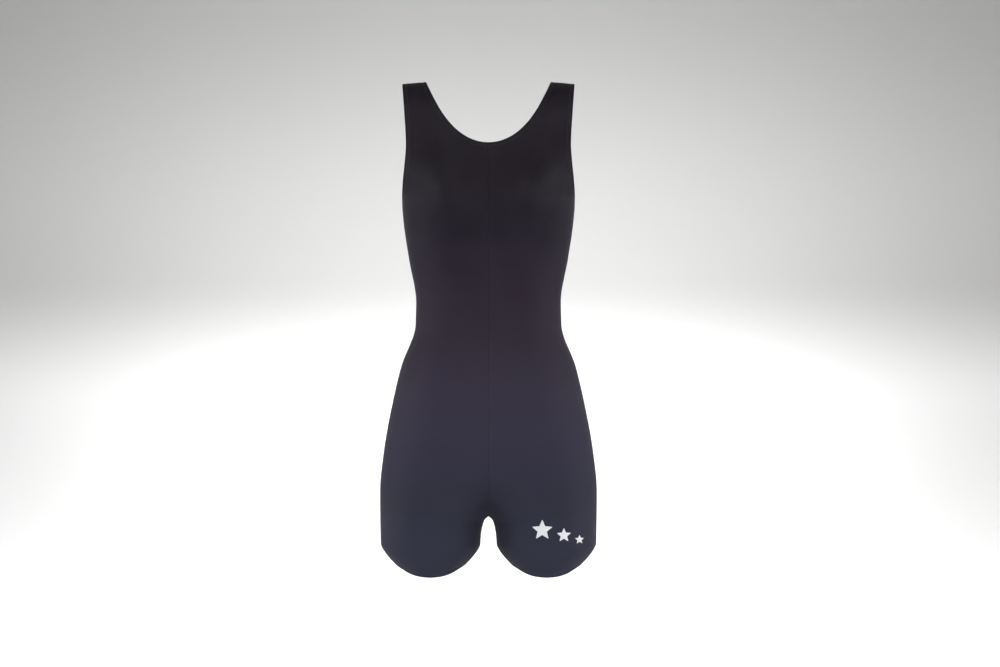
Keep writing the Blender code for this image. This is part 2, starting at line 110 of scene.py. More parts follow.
# Thigh motif: across, height and radius of each star.
STARS = {
    "large": (0.082, -0.682, 0.0165),
    "medium": (0.115, -0.690, 0.0115),
    "small": (0.139, -0.697, 0.0075),
}
STAR_POINTS, STAR_WAIST = 5, 0.45

# Turned hems: how round the fold is, how far the cloth is turned in, and where the two needle rows run.
FOLD = 0.0011
BAND = 0.0085
NEEDLES = (0.0048, 0.0070)
GROOVE, GROOVE_WIDTH = 0.00028, 0.00035
SEAM_FOLD = 0.00035

# Soft drag lines where the cloth turns from one pull to another: side and hand (0 for both), arc and height
# of the middle, slant in degrees, half length, half width and depth.
FOLDS = [
    (-1, 0, 0.048, -0.618, 38, 0.034, 0.0070, -0.0007),
    (-1, 1, 0.060, -0.598, 32, 0.036, 0.0085, 0.0005),
    (-1, -1, 0.055, -0.604, 26, 0.030, 0.0080, 0.0006),
    (-1, 1, 0.075, -0.352, 6, 0.040, 0.0065, 0.0005),
    (-1, -1, 0.082, -0.338, -5, 0.036, 0.0060, -0.0005),
    (-1, 1, 0.085, -0.202, 14, 0.030, 0.0060, -0.0006),
    (-1, -1, 0.090, -0.206, 10, 0.028, 0.0055, -0.0005),
    (1, 0, 0.050, -0.632, 30, 0.036, 0.0080, -0.0010),
    (1, 1, 0.062, -0.606, 24, 0.034, 0.0090, 0.0007),
    (1, -1, 0.058, -0.612, 20, 0.038, 0.0085, 0.0008),
    (1, 1, 0.055, -0.334, -7, 0.046, 0.0060, 0.0011),
    (1, 1, 0.064, -0.352, 4, 0.040, 0.0058, -0.0009),
    (1, -1, 0.060, -0.341, 8, 0.044, 0.0062, 0.0010),
    (1, -1, 0.052, -0.362, -3, 0.038, 0.0056, 0.0008),
    (1, 0, 0.095, -0.215, 24, 0.034, 0.0070, 0.0006),
]
FOLD_FADE = (0.003, 0.022)

# Fine pattern grid.
LEG_ROWS, BODY_ROWS, YOKE_ROWS, COLUMNS = 16, 118, 48, 36
ARMHOLE_CROWDING = 1.3
COLUMNS_EVEN = -0.47
SAMPLES = 161
INSETS = np.array([
    0, 0.00025, 0.0006, 0.0011, 0.0017, 0.003, 0.0043, NEEDLES[0], 0.0053, 0.0065, NEEDLES[1], 0.0075, BAND,
])
LAST = len(INSETS) - 1
MIDDLE = np.linspace(0, 1, COLUMNS + 1)[1:-1]
FRACTIONS = np.concatenate([0 * INSETS, MIDDLE, 0 * INSETS + 1])
OFFSETS = np.concatenate([INSETS, BAND * (1 - 2 * MIDDLE), -INSETS[::-1]])
CROTCH_ROW = LAST + LEG_ROWS
BAND_ROW = CROTCH_ROW + BODY_ROWS
CORNER_ROW = BAND_ROW + LAST
FAR = 1.0
ALL = slice(None)
HANDS = {"left": 1, "right": -1}
NEAR_POINTS = 1e-6
CREASE = 50
ACROSS = np.array([1.0, 0, 0])
STEP = 1e-4

# Layers, measured in from the outer surface.
GAP = 0.00006
ELASTIC_NEAR, ELASTIC_FAR, ELASTIC_INSETS = CLOTH + GAP, 2 * FOLD - CLOTH - GAP, (3, 9)
NEEDLE_INSETS = (7, 10)
SEAM_NEAR, SEAM_INSET, SHOULDER_ROWS = CLOTH + GAP, 8, 6
LINING, LINING_NEAR, LINING_RIDGE, LINING_INSET = 0.00045, 0.0009, 0.00075, 9
SEAM_RIDGE, NECK_RIDGE = (0.0055, 0.0095), (0.014, 0.002)
FOOT_BAND, FOOT_ROWS = 0.0006, 2
CROTCH_LEG_ROWS, CROTCH_BODY_ROWS, CROTCH_COLUMNS = 4, 13, 6

# Threads.
STITCH_PITCH, STITCH_SHARE, STITCH_PROUD = 0.0026, 0.86, 0.0001
THREAD_RADIUS, THREAD_SIDES, STITCH_SIDES = 0.00014, 5, 6
OVERLOCK_PITCH = 0.0011
# The rings of one stitch: how far along it each lies, how thick it is and how far it is lifted.
STITCH_RINGS = [(-0.5, 0.3, -0.7), (-0.42, 0.85, -0.15), (0, 1, 0.15), (0.42, 0.85, -0.15), (0.5, 0.3, -0.7)]

# Shoulder tapes and label.
TAPE_CELLS, TAPE_RIB, TAPE_RIB_PITCH, TAPE_STITCH_ROW = (24, 40), 0.00008, 0.0007, 0.0016
LABEL_CELLS, LABEL_SPAN, LABEL_CURL, LABEL_OPEN = (20, 18), 3, 0.0012, 0.0006
LABEL_LEAF, LABEL_CLOTH, LABEL_STITCH = 0.0003, 0.00016, 0.0018
TACK_BEHIND_HINGE = 0.0007

# Patterns of the finishes: sizes in metres, then the scales of the ready-made textures.
WALE, COURSE, STITCH_LEAN, HEM_PUCKER = 0.00042, 0.00034, 1.3, 0.0052
HEATHER, CLOUDS = 0.0022, 0.06
MESH_PITCH, ELASTIC_RIB, ELASTIC_WEFT = 0.0011, 0.0011, 0.0007
SATIN_FLOAT, SATIN_RIB, BORDER_RIB, BORDER_ENDS = 0.00022, 0.0009, 0.0005, (0.0014, 0.001)
PLIES, CRACKS, WALES_THROUGH = 1300, 900, 380

# Stars.
STAR_BLUNT, STAR_SPOKES, STAR_RINGS, STAR_SHARES = 0.035, 100, 9, (0.04, 0.96)
FILM, FILM_EDGE, FILM_LIFT, REACH = 0.00009, 0.4, 0.00006, 0.05

# Camera, backdrop and lights. The backdrop is a round studio whose floor sweeps up into a wall of white
# paper, with painted shade that greys it up the wall behind the garment where the light falls off.
FRAME_WIDTH, SENSOR_WIDTH, SIGHT = 1.537, 36, 100
CAMERA_DISTANCE, CAMERA_ACROSS, CAMERA_HEIGHT = 9.0, 0.0177, -0.3826
FLOOR, FLOOR_MIDDLE, WALL_RADIUS, WALL_TOP = -1.6, 0.01, 11.0, 6.0
SWEEP, SWEEP_STEPS, ROUND_STEPS = 3.0, 24, 96
# The grey and the top colour are painted shade on the white paper.
PAPER_WHITE, PAPER_SHADE_GREY, PAPER_SHADE_TOP = (0.93, 0.93, 0.925), (0.575, 0.575, 0.57), (0.45, 0.45, 0.446)
PAPER_SHADE_FADES, PAPER_SHADE_BEHIND = ((-0.62, -0.20), (0.0, 0.9)), (7.0, 10.0)
WORLD_COLOUR, WORLD_STRENGTH = (0.98, 0.99, 1.0), 0.07
LIGHTS = [
    ("key", (0.0, -3.4, 2.2), (0, 0, -0.3), (2.4, 1.4), 66, (1, 0.97, 0.96)),
    ("hip_fill", (0.0, -3.0, -1.2), (0, 0, -0.62), (1.8, 0.5), 22, (0.85, 0.9, 1)),
    ("side_left", (2.6, -0.5, -0.2), (0, 0, -0.38), (0.8, 2.0), 27, (0.97, 0.97, 1)),
    ("side_right", (-2.6, -0.5, -0.2), (0, 0, -0.38), (0.8, 2.0), 27, (0.97, 0.97, 1)),
    ("wall_wash", (0.0, 9.0, 0.15), (0, 11.0, 0.15), (1.6, 0.4), 36, (1, 1, 1)),
    ("floor_wash", (0.0, 8.6, -0.55), (0, 8.8, -1.6), (4.0, 0.5), 32, (1, 1, 1)),
]
RING_LIGHTS, RING_ENDS, RING_SIZE, RING_POWER = 7, ((6.5, 1.2), (11.0, -0.3)), (6.0, 1.0), 75


def curve_through(points):
    """A smooth curve through (height, value) points that never overshoots between two of them."""
    x, y = np.array(sorted(points), float).T
    step, slope = np.diff(x), np.diff(y) / np.diff(x)
    tangent = np.concatenate([slope[:1], np.zeros(len(x) - 2), slope[-1:]])
    same = slope[:-1] * slope[1:] > 0
    weight = (2 * step[1:] + step[:-1], step[1:] + 2 * step[:-1])
    with np.errstate(divide="ignore", invalid="ignore"):
        mean = (weight[0] + weight[1]) / (weight[0] / slope[:-1] + weight[1] / slope[1:])
    tangent[1:-1] = np.where(same, mean, 0)

    def at(value):
        value = np.clip(value, x[0], x[-1])
        k = np.clip(np.searchsorted(x, value) - 1, 0, len(step) - 1)
        t = (value - x[k]) / step[k]
        start = y[k] * (1 + 2 * t) * (1 - t) ** 2 + tangent[k] * step[k] * t * (1 - t) ** 2
        end = y[k + 1] * t * t * (3 - 2 * t) + tangent[k + 1] * step[k] * t * t * (t - 1)
        return start + end

    return at


half_width, front_depth, back_depth = [curve_through([(row[0], row[k]) for row in FORM]) for k in (1, 2, 3)]
armhole_across = curve_through(ARMHOLE)

LEG_HALF = (half_width(LEG_ROUNDING) - LEG_GAP) / 2
LEG_CENTRE = (half_width(LEG_ROUNDING) + LEG_GAP) / 2
LEG_DROP = LEG_ROUNDING - HEM_FRONT
LEG_END_RADIUS = (LEG_HALF**2 + LEG_DROP**2) / (2 * LEG_DROP)
HEM_SIDE = HEM_FRONT + LEG_END_RADIUS - math.sqrt(LEG_END_RADIUS**2 - HEM_HALF_WIDTH**2)
SHOULDER_START = STRAP_TOP - SHOULDER_ROUND
SHOULDER_LINE = SHOULDER_START + SHOULDER_ROUND * math.pi / 2
STRAP_MIDDLE = (STRAP_INNER + STRAP_OUTER) / 2


def leg_half_width(level):
    """Half the leg's width where it rounds in towards its hem."""
    above = HEM_SOFTENING * np.log1p(np.exp(np.clip((level - HEM_SIDE) / HEM_SOFTENING, -30, 30)))
    rest = LEG_END_RADIUS - (HEM_SIDE + above - HEM_FRONT)
    return np.sqrt(np.maximum(LEG_END_RADIUS**2 - rest**2, 0))


def outer_side(level):
    """How far out the side seam lies."""
    round_end = LEG_CENTRE + np.minimum(leg_half_width(level), LEG_HALF)
    return np.where(level < LEG_ROUNDING, round_end, half_width(level))


def inner_side(level):
    """How far out the inner-leg seam lies: 0 above the crotch, where the panel ends at the centre."""
    fall = np.clip((CROTCH - level) / LEG_ARCH, 0, 1)
    arch = LEG_GAP * np.sqrt(1 - (1 - fall) ** 2)
    round_end = LEG_CENTRE - np.minimum(leg_half_width(level), LEG_HALF)
    return np.where(level < LEG_ROUNDING, round_end, arch)


def cloth_depth(side, across, level):
    """How far the cloth stands in front of the side seams (side -1) or behind them (side 1)."""
    deep = front_depth(level) if side < 0 else back_depth(level)
    out, inner = outer_side(level), inner_side(level)
    rounding = np.clip((STRAP_TOP - level) / SHOULDER_ROUND, 0, 1)
    torso = deep * np.sqrt(np.clip(1 - (across / out) ** SECTION_POWER, 0, 1))
    if side < 0:
        spread = np.where(level > BUST_HEIGHT, BUST_ABOVE, BUST_BELOW)
        bust = np.exp(-(((level - BUST_HEIGHT) / spread) ** 2) - ((across - BUST_ACROSS) / BUST_WIDTH) ** 2)
        torso = torso + BUST_RISE * bust * np.clip(torso / deep, 0, 1)
    from_middle = np.abs(2 * across - out - inner) / np.maximum(out - inner, 1e-9)
    leg = deep * np.sqrt(np.clip(1 - from_middle**SECTION_POWER, 0, 1))
    top = FRONT_SPLIT if side < 0 else BACK_SPLIT
    split = np.clip((top - level) / (top - CROTCH), 0, 1) ** 2
    return np.sqrt((1 - split) * torso**2 + split * leg**2) * np.sqrt(1 - (1 - rounding) ** 2)


def level_at(up):
    """The height on the form of a height on the pattern, which runs on over the round of the shoulder."""
    over = np.clip((up - SHOULDER_START) / SHOULDER_ROUND, 0, math.pi / 2)
    return np.where(up < SHOULDER_START, up, SHOULDER_START + SHOULDER_ROUND * np.sin(over))


def up_at(level):
    """The opposite of level_at."""
    over = np.arcsin(np.clip((level - SHOULDER_START) / SHOULDER_ROUND, 0, 1))
    return np.where(level < SHOULDER_START, level, SHOULDER_START + SHOULDER_ROUND * over)


def form_point(side, across, level):
    """A point of the form; the shoulder line slopes down a little, away from the neck."""
    near = np.clip((level - SHOULDER_START) / SHOULDER_ROUND, 0, 1)
    height = level - SHOULDER_SLOPE * (across - STRAP_MIDDLE) * near * near * (3 - 2 * near)
    return np.stack([across, side * cloth_depth(side, across, level), height], -1)


def section(side, level):
    """Points round the form at each level, from the inner edge to the side seam, and their arc lengths."""
    level = np.atleast_1d(level)[:, None]
    turn = (1 - np.cos(np.pi * np.linspace(0, 1, SAMPLES)))[None, :] / 2
    across = inner_side(level) + (outer_side(level) - inner_side(level)) * turn
    points = form_point(side, across, level + 0 * across)
    length = np.linalg.norm(np.diff(points, axis=1), axis=2).cumsum(axis=1)
    return across, np.concatenate([np.zeros_like(level), length], axis=1)


def girth(side, level):
    """Arc length from the inner edge to the side seam."""
    return section(side, level)[1][:, -1]


def arc_to(side, across, level):
    """Arc length from the inner edge to a place across."""
    places, lengths = section(side, level)
    return np.array([np.interp(a, p, s) for a, p, s in zip(np.atleast_1d(across), places, lengths)])


def surface_point(side, arc, up):
    """The point of the worn cloth at a place on the flat pattern."""
    arc, up = np.broadcast_arrays(np.asarray(arc, float), np.asarray(up, float))
    level = level_at(up).ravel()
    places, lengths = section(side, level)
    across = np.array([np.interp(a, s, p) for a, p, s in zip(arc.ravel(), places, lengths)])
    return form_point(side, across, level).reshape(*arc.shape, 3)


def unit(vectors):
    """Vectors of length 1 in the same directions."""
    return vectors / np.linalg.norm(vectors, axis=-1)[..., None]


def distance_along(line):
    """How far along a line each of its points lies."""
    return np.concatenate([[0], np.linalg.norm(np.diff(line, axis=0), axis=1).cumsum()])


def read_at(at, along, values):
    """The values, one row for each of the distances along, read off at other distances."""
    return np.stack([np.interp(at, along, column) for column in values.T], -1)


def resampled(line, crowding):
    """Points along a line, even or crowded towards its start, and a few close together at its end."""
    along = distance_along(line)
    share = np.linspace(0, 1, YOKE_ROWS + 1) ** crowding
    at = np.concatenate([along[-1] * share[:-1], along[-1] - INSETS[4::-1]])
    return read_at(at, along, line)


def neckline(side):
    """The neck edge on the pattern, from the centre to the shoulder."""
    across = STRAP_INNER * np.sin(np.linspace(0, math.pi / 2, SAMPLES))
    share = across / STRAP_INNER
    if side < 0:
        rise = (1 - NECK_SQUARENESS) * share**2 + NECK_SQUARENESS * share**4
        level = FRONT_NECK + (STRAP_TOP - FRONT_NECK) * rise
    else:
        level = BACK_NECK + (STRAP_TOP - BACK_NECK) * share**BACK_NECK_POWER
    return np.stack([arc_to(side, across, level), up_at(level)], -1)


def underarm_level():
    """Where the armhole meets the side seam."""
    (high, _), (low, _) = ARMHOLE[-2:]
    while high - low > 1e-7:
        middle = (low + high) / 2
        if half_width(middle) < armhole_across(middle):
            low = middle
        else:
            high = middle
    return high


UNDERARM = underarm_level()


def armhole(side):
    """The armhole edge on the pattern, from the side seam to the shoulder."""
    share = np.linspace(0, 1, SAMPLES)
    up = UNDERARM + (SHOULDER_LINE - UNDERARM) * share**2
    level = level_at(up)
    arc = arc_to(side, armhole_across(level), level)
    arc[0] = girth(side, UNDERARM)[0]
    return np.stack([arc, up], -1)


def moved_in(line, turn, distance):
    """A pattern line moved sideways into the cloth; turn is 1 to its left and -1 to its right."""
    ahead = unit(np.gradient(line, axis=0))
    return line + turn * distance * np.stack([-ahead[:, 1], ahead[:, 0]], -1)


def row_of(side, start, end):
    """A row of the pattern above the crotch, from its inner band to its outer one, as (arc, up) points."""
    between = start[-1] + (end[0] - start[-1]) * MIDDLE[:, None]
    level = level_at(between[:, 1])
    across = half_width(level) * (1 - np.cos(np.pi * MIDDLE)) / 2
    leg_like = arc_to(side, across, level) / girth(side, level)
    share = np.clip((COLUMNS_EVEN - between[:, 1]) / (COLUMNS_EVEN - CROTCH), 0, 1)
    between[:, 0] += (end[0, 0] - start[-1, 0]) * (leg_like - MIDDLE) * share
    return np.vstack([start, between, end])


def leg_rows(side):
    """Rows of the leg from its hem to just below the crotch, with each point's distance to the hem."""
    nominal = girth(side, HEM_SIDE)[0]
    turn = (nominal * FRACTIONS + OFFSETS) / nominal
    hem = HEM_FRONT + HEM_RISE * np.cos(np.pi * turn) ** 2
    heights = [hem + inset for inset in INSETS]
    heights += [hem + BAND + (CROTCH - hem - BAND) * row / LEG_ROWS for row in range(1, LEG_ROWS)]
    return [(np.stack([girth(side, up) * FRACTIONS + OFFSETS, up], -1), up - hem) for up in heights]


def body_rows(side):
    """Rows from the crotch to the corners of the neck and the armhole, squared off along both bands."""
    depths = [BAND] * (BODY_ROWS + 1) + list(INSETS[-2::-1])
    shares = list(np.linspace(0, 1, BODY_ROWS + 1)) + [1] * LAST
    neck = FRONT_NECK if side < 0 else BACK_NECK
    rows = []
    for share, depth in zip(shares, depths):
        drop = np.maximum(INSETS, depth)
        inner = np.stack([INSETS, CROTCH + (neck - drop - CROTCH) * share], -1)
        up = CROTCH + (UNDERARM - drop - CROTCH) * share
        outer = np.stack([girth(side, up) - INSETS, up], -1)[::-1]
        opening = np.full(len(FRACTIONS), FAR)
        if share == 1:
            opening = np.concatenate([drop, 0 * MIDDLE + FAR, drop[::-1]])
        rows.append((row_of(side, inner, outer), opening))
    return rows


def yoke_rows(side):
    """Rows from there to the shoulder, along the neck edge at one end and the armhole at the other."""
    neck, arm = neckline(side), armhole(side)
    inner, outer = [], []
    for inset in INSETS:
        neck_line = np.vstack([neck[0] + [inset, -inset], moved_in(neck, -1, inset)[2:]]) if inset else neck
        arm_line = np.vstack([arm[0] - inset, moved_in(arm, 1, inset)[2:]]) if inset else arm
        neck_line[-1], arm_line[-1] = neck[-1] + [inset, 0], arm[-1] - [inset, 0]
        inner.append(resampled(neck_line, 1))
        outer.append(resampled(arm_line, ARMHOLE_CROWDING))
    inner, outer = np.array(inner), np.array(outer)[::-1]
    opening = np.concatenate([INSETS, 0 * MIDDLE + FAR, INSETS[::-1]])
    rows = range(1, inner.shape[1])
    return [(row_of(side, inner[:, row], outer[:, row]), opening) for row in rows]


def pattern(side):
    """The panel's pattern: grids of arc, up and the distances to the nearest opening and the nearest seam."""
    rows = leg_rows(side) + body_rows(side) + yoke_rows(side)
    flat = np.array([row for row, _ in rows])
    opening = np.array([distance for _, distance in rows])
    arc, up = flat[..., 0], flat[..., 1]
    level = level_at(up)
    out = girth(side, np.minimum(level, UNDERARM).ravel()).reshape(level.shape) - arc
    out = np.where(up > UNDERARM, np.hypot(out, up - UNDERARM), out)
    seam = np.minimum(np.minimum(arc, out), SHOULDER_LINE - up)
    return arc, up, opening, np.maximum(seam, 0)


def soft_folds(side, hand, arc, up):
    """How far the drag lines lift the cloth at places on a panel's pattern."""
    raised = 0 * arc
    for fold_side, fold_hand, fold_arc, fold_up, slant, length, width, deep in FOLDS:
        if fold_side == side and fold_hand in (0, hand):
            turn = math.radians(slant)
            along = (arc - fold_arc) * math.cos(turn) + (up - fold_up) * math.sin(turn)
            across = (up - fold_up) * math.cos(turn) - (arc - fold_arc) * math.sin(turn)
            raised += deep * np.exp(-((along / length) ** 2) - (across / width) ** 2)
    return raised


class Panel:
    """One quarter of the garment: grids of points, normals and cloth coordinates, shared along its seams."""

    def __init__(self, side):
        self.arc, self.up, self.opening, self.seam = pattern(side)
        ahead = [surface_point(side, self.arc + s * STEP, self.up) for s in (-1, 1)]
        above = [surface_point(side, self.arc, self.up + s * STEP) for s in (-1, 1)]
        normal = np.cross(ahead[1] - ahead[0], above[1] - above[0]) * -side
        self.normals = normal / np.maximum(np.linalg.norm(normal, axis=2), 1e-12)[..., None]
        self.points = surface_point(side, self.arc, self.up)
        self.cloth = np.stack([self.arc, self.up, self.opening], -1)

    def mirrored(self, side, hand):
        """The same panel on the wearer's left (hand 1) or right (hand -1), with its own soft folds."""
        made = copy.copy(self)
        raised = soft_folds(side, hand, self.arc, self.up)
        raised *= smooth(np.minimum(self.seam, self.opening), *FOLD_FADE)
        made.points = (self.points + self.normals * raised[..., None]) * [hand, 1, 1]
        made.normals = self.normals * [hand, 1, 1]
        return made


def sew(front, back):
    """The back panel takes the front panel's points along the shoulder, side and inner-leg seams."""
    for rows, columns in ((-1, ALL), (slice(CORNER_ROW + 1), -1), (slice(CROTCH_ROW + 1), 0)):
        back.points[rows, columns] = front.points[rows, columns]


def same_place(points):
    """For each point, the index of the first one that lies in the same place."""
    keys = np.round(points / NEAR_POINTS).astype(np.int64)
    _, first, group = np.unique(keys, axis=0, return_index=True, return_inverse=True)
    return first, group.reshape(-1)


def share_normals(panels):
    """Panels that meet take the mean of their normals there, so that each layer runs on across the seam."""
    points = np.vstack([panel.points.reshape(-1, 3) for panel in panels])
    normals = np.vstack([panel.normals.reshape(-1, 3) for panel in panels])
    first, group = same_place(points)
    sums = np.zeros((len(first), 3))
    np.add.at(sums, group, normals)
    sums = unit(sums)
    for k, panel in enumerate(panels):
        size = panel.points.shape[0] * panel.points.shape[1]
        panel.normals = sums[group[k * size:(k + 1) * size]].reshape(panel.points.shape)


def placed(name, data):
    """A new object in the scene."""
    made = bpy.data.objects.new(name, data)
    bpy.context.scene.collection.objects.link(made)
    return made


def finished_object(name, points, faces, finish, cloth=None):
    """A closed mesh as one piece, its faces turned outwards and its corners given cloth coordinates."""
    mesh = bpy.data.meshes.new(name)
    mesh.from_pydata([tuple(p) for p in points], [], faces)
    if cloth is not None:
        attribute = mesh.attributes.new("cloth", "FLOAT_VECTOR", "CORNER")
        attribute.data.foreach_set("vector", np.asarray(cloth, np.float32).ravel())
    shape = bmesh.new()
    shape.from_mesh(mesh)
    bmesh.ops.recalc_face_normals(shape, faces=shape.faces)
    shape.to_mesh(mesh)
    shape.free()
    mesh.shade_smooth()
    mesh.set_sharp_from_angle(angle=math.radians(CREASE))
    mesh.materials.append(finish["material"])
    made = placed(name, mesh)
    return made


def grid_quads(shape, start):
    """The quads of a grid of points, as indices counted from start."""
    index = np.arange(shape[0] * shape[1]).reshape(shape) + start
    return np.stack([index[:-1, :-1], index[:-1, 1:], index[1:, 1:], index[1:, :-1]], -1).reshape(-1, 4)


def sheet(name, patches, finish):
    """One closed sheet over patches of grid, each (near points, far points, cloth coordinates)."""
    near = np.vstack([patch[0].reshape(-1, 3) for patch in patches])
    far = np.vstack([patch[1].reshape(-1, 3) for patch in patches])
    cloth = np.vstack([patch[2].reshape(-1, 3) for patch in patches] * 2)
    quads, start = [], 0
    for patch in patches:
        quads.append(grid_quads(patch[0].shape[:2], start))
        start += patch[0].shape[0] * patch[0].shape[1]
    quads = np.vstack(quads)
    everything = np.vstack([near, far])
    first, group = same_place(everything)
    top = same_place(near)[1]
    raw = [tuple(quad) for quad in quads] + [tuple(quad[::-1] + len(near)) for quad in quads]
    rims = {}
    for quad in quads:
        for k in range(4):
            a, b = quad[k], quad[(k + 1) % 4]
            if top[a] != top[b]:
                key = (min(top[a], top[b]), max(top[a], top[b]))
                rims.setdefault(key, []).append((a, b))
    raw += [(b, a, a + len(near), b + len(near)) for (a, b), *more in rims.values() if not more]
    faces, corners = [], []
    for ring in raw:
        kept = [k for k in range(4) if group[ring[k]] != group[ring[k - 1]]]
        if len(kept) > 2 and len({group[ring[k]] for k in kept}) == len(kept):
            faces.append([int(group[ring[k]]) for k in kept])
            corners += [ring[k] for k in kept]
    return finished_object(name, everything[first], faces, finish, cloth[corners])


def layer(panel, rows, columns, near, far):
    """A layer of cloth under part of a panel's outer surface, from the depth near to the depth far."""
    points, normals = panel.points[rows][:, columns], panel.normals[rows][:, columns]
    place = Place(panel, rows, columns)
    depths = [depth(place) if callable(depth) else depth for depth in (near, far)]
    shifted = [points - normals * np.broadcast_to(depth, points.shape[:2])[..., None] for depth in depths]
    return (*shifted, panel.cloth[rows][:, columns])


class Place:
    """Where part of a panel's grid lies on the cloth: arc, height and the distances to opening and seam."""

    def __init__(self, panel, rows, columns):
        self.arc, self.up, self.opening, self.seam = [
            grid[rows][:, columns] for grid in (panel.arc, panel.up, panel.opening, panel.seam)
        ]


def rounded(distance, radius):
    """How far a rounded edge of that radius falls away, at a distance from the edge."""
    return radius - np.sqrt(radius**2 - np.clip(radius - distance, 0, radius) ** 2)


def smooth(value, low, high):
    """0 below low, 1 above high, and a smooth rise between them."""
    share = np.clip((value - low) / (high - low), 0, 1)
    return share * share * (3 - 2 * share)


def needle_grooves(opening):
    """How deep the two needle rows pull the cloth in."""
    return sum(GROOVE * np.exp(-(((opening - needle) / GROOVE_WIDTH) ** 2)) for needle in NEEDLES)


def outer_skin(place):
    return rounded(place.opening, FOLD) + rounded(place.seam, SEAM_FOLD) + needle_grooves(place.opening)


def inner_skin(place):
    return CLOTH + (FOLD - CLOTH) * np.clip(1 - place.opening / FOLD, 0, 1) ** 2


def facing_near(place):
    return 2 * FOLD - inner_skin(place)


def facing_far(place):
    return 2 * FOLD - rounded(place.opening, FOLD)


def merged(meshes):
    """Several (points, faces) made one."""
    points, faces, start = [], [], 0
    for some_points, some_faces in meshes:
        points.append(some_points)
        faces += [[index + start for index in face] for face in some_faces]
        start += len(some_points)
    return np.vstack(points), faces


def tube(rings, closed):
    """Rings of points as (points, faces), the last joined to the first when closed or else both capped."""
    count, around = rings.shape[:2]
    total = count * around
    faces = []
    for ring in range(count if closed else count - 1):
        for k in range(around):
            a, b = ring * around + k, ring * around + (k + 1) % around
            faces.append([a, b, (b + around) % total, (a + around) % total])
    if not closed:
        faces += [list(range(around))[::-1], list(range(total - around, total))]
    return rings.reshape(-1, 3), faces


def stitches(centres, ahead, normals, pitch):
    """A short rounded length of thread at each centre, as (points, faces)."""
    ahead = unit(ahead)
    side = unit(np.cross(normals, ahead))
    out = np.cross(ahead, side)
    rings = []
    for along, thick, lift in STITCH_RINGS:
        for angle in 2 * np.pi * np.arange(STITCH_SIDES) / STITCH_SIDES:
            spread, height = thick * math.cos(angle), thick * math.sin(angle) + lift
            place = ahead * along * pitch * STITCH_SHARE + (side * spread + out * height) * THREAD_RADIUS
            rings.append(centres + place)
    rings = np.array(rings).reshape(len(STITCH_RINGS), STITCH_SIDES, -1, 3).transpose(2, 0, 1, 3)
    return merged([tube(stitch, False) for stitch in rings])


def stitch_row(middle, along, normal, length, pitch):
    """A straight row of stitches about its middle, as (points, faces)."""
    count = int(length / pitch)
    steps = (np.arange(count) - (count - 1) / 2)[:, None] * pitch
    return stitches(middle + steps * along, 0 * steps + along, 0 * steps + normal, pitch)


def thread(path, normals, closed):
    """A thread along a path, as (points, faces)."""
    ahead = np.roll(path, -1, axis=0) - np.roll(path, 1, axis=0) if closed else np.gradient(path, axis=0)
    ahead = unit(ahead)
    side = unit(np.cross(normals, ahead))
    out = np.cross(ahead, side)
    angles = 2 * np.pi * np.arange(THREAD_SIDES) / THREAD_SIDES
    points = [path + THREAD_RADIUS * (side * math.cos(a) + out * math.sin(a)) for a in angles]
    return tube(np.array(points).transpose(1, 0, 2), closed)


def evenly(path, normals, pitch, closed):
    """The path again with points the pitch apart, and the normals there."""
    if closed:
        path, normals = np.vstack([path, path[:1]]), np.vstack([normals, normals[:1]])
    along = distance_along(path)
    count = 2 * round(along[-1] / pitch / 2)
    at = np.linspace(0, along[-1], count + 1)[:count if closed else None]
    return read_at(at, along, path), unit(read_at(at, along, normals))


def zigzag(lines, pitch, closed):
    """A thread that goes to and fro between two lines, each (points, normals)."""
    (a, a_normals), (b, b_normals) = [evenly(*line, pitch, closed) for line in lines]
    count = min(len(a), len(b))
    share = (np.arange(count) % 2)[:, None]
    path = a[:count] * (1 - share) + b[:count] * share
    return thread(path, a_normals[:count] + b_normals[:count], closed)


def line_in(panel, cells, depth):
    """The line through those cells of a panel's grid, at a depth in the cloth, and the normals there."""
    return panel.points[cells] - panel.normals[cells] * depth, panel.normals[cells]


def band_line(panel, edge, inset, depth):
    """The line at one of the insets from the neck edge (edge 0) or armhole (edge -1), up to the shoulder."""
    cells = [(CORNER_ROW - inset, column) for column in range(inset)]
    cells += [(row, inset) for row in range(CORNER_ROW, panel.arc.shape[0])]
    columns = [column if edge == 0 else -1 - column for _, column in cells]
    return line_in(panel, ([row for row, _ in cells], columns), depth)


def loop(lines):
    """Lines that follow each other round an opening, every second one turned back, as one closed line."""
    steps = [1, -1] * len(lines)
    return [np.vstack([line[k][::step][:-1] for line, step in zip(lines, steps)]) for k in (0, 1)]


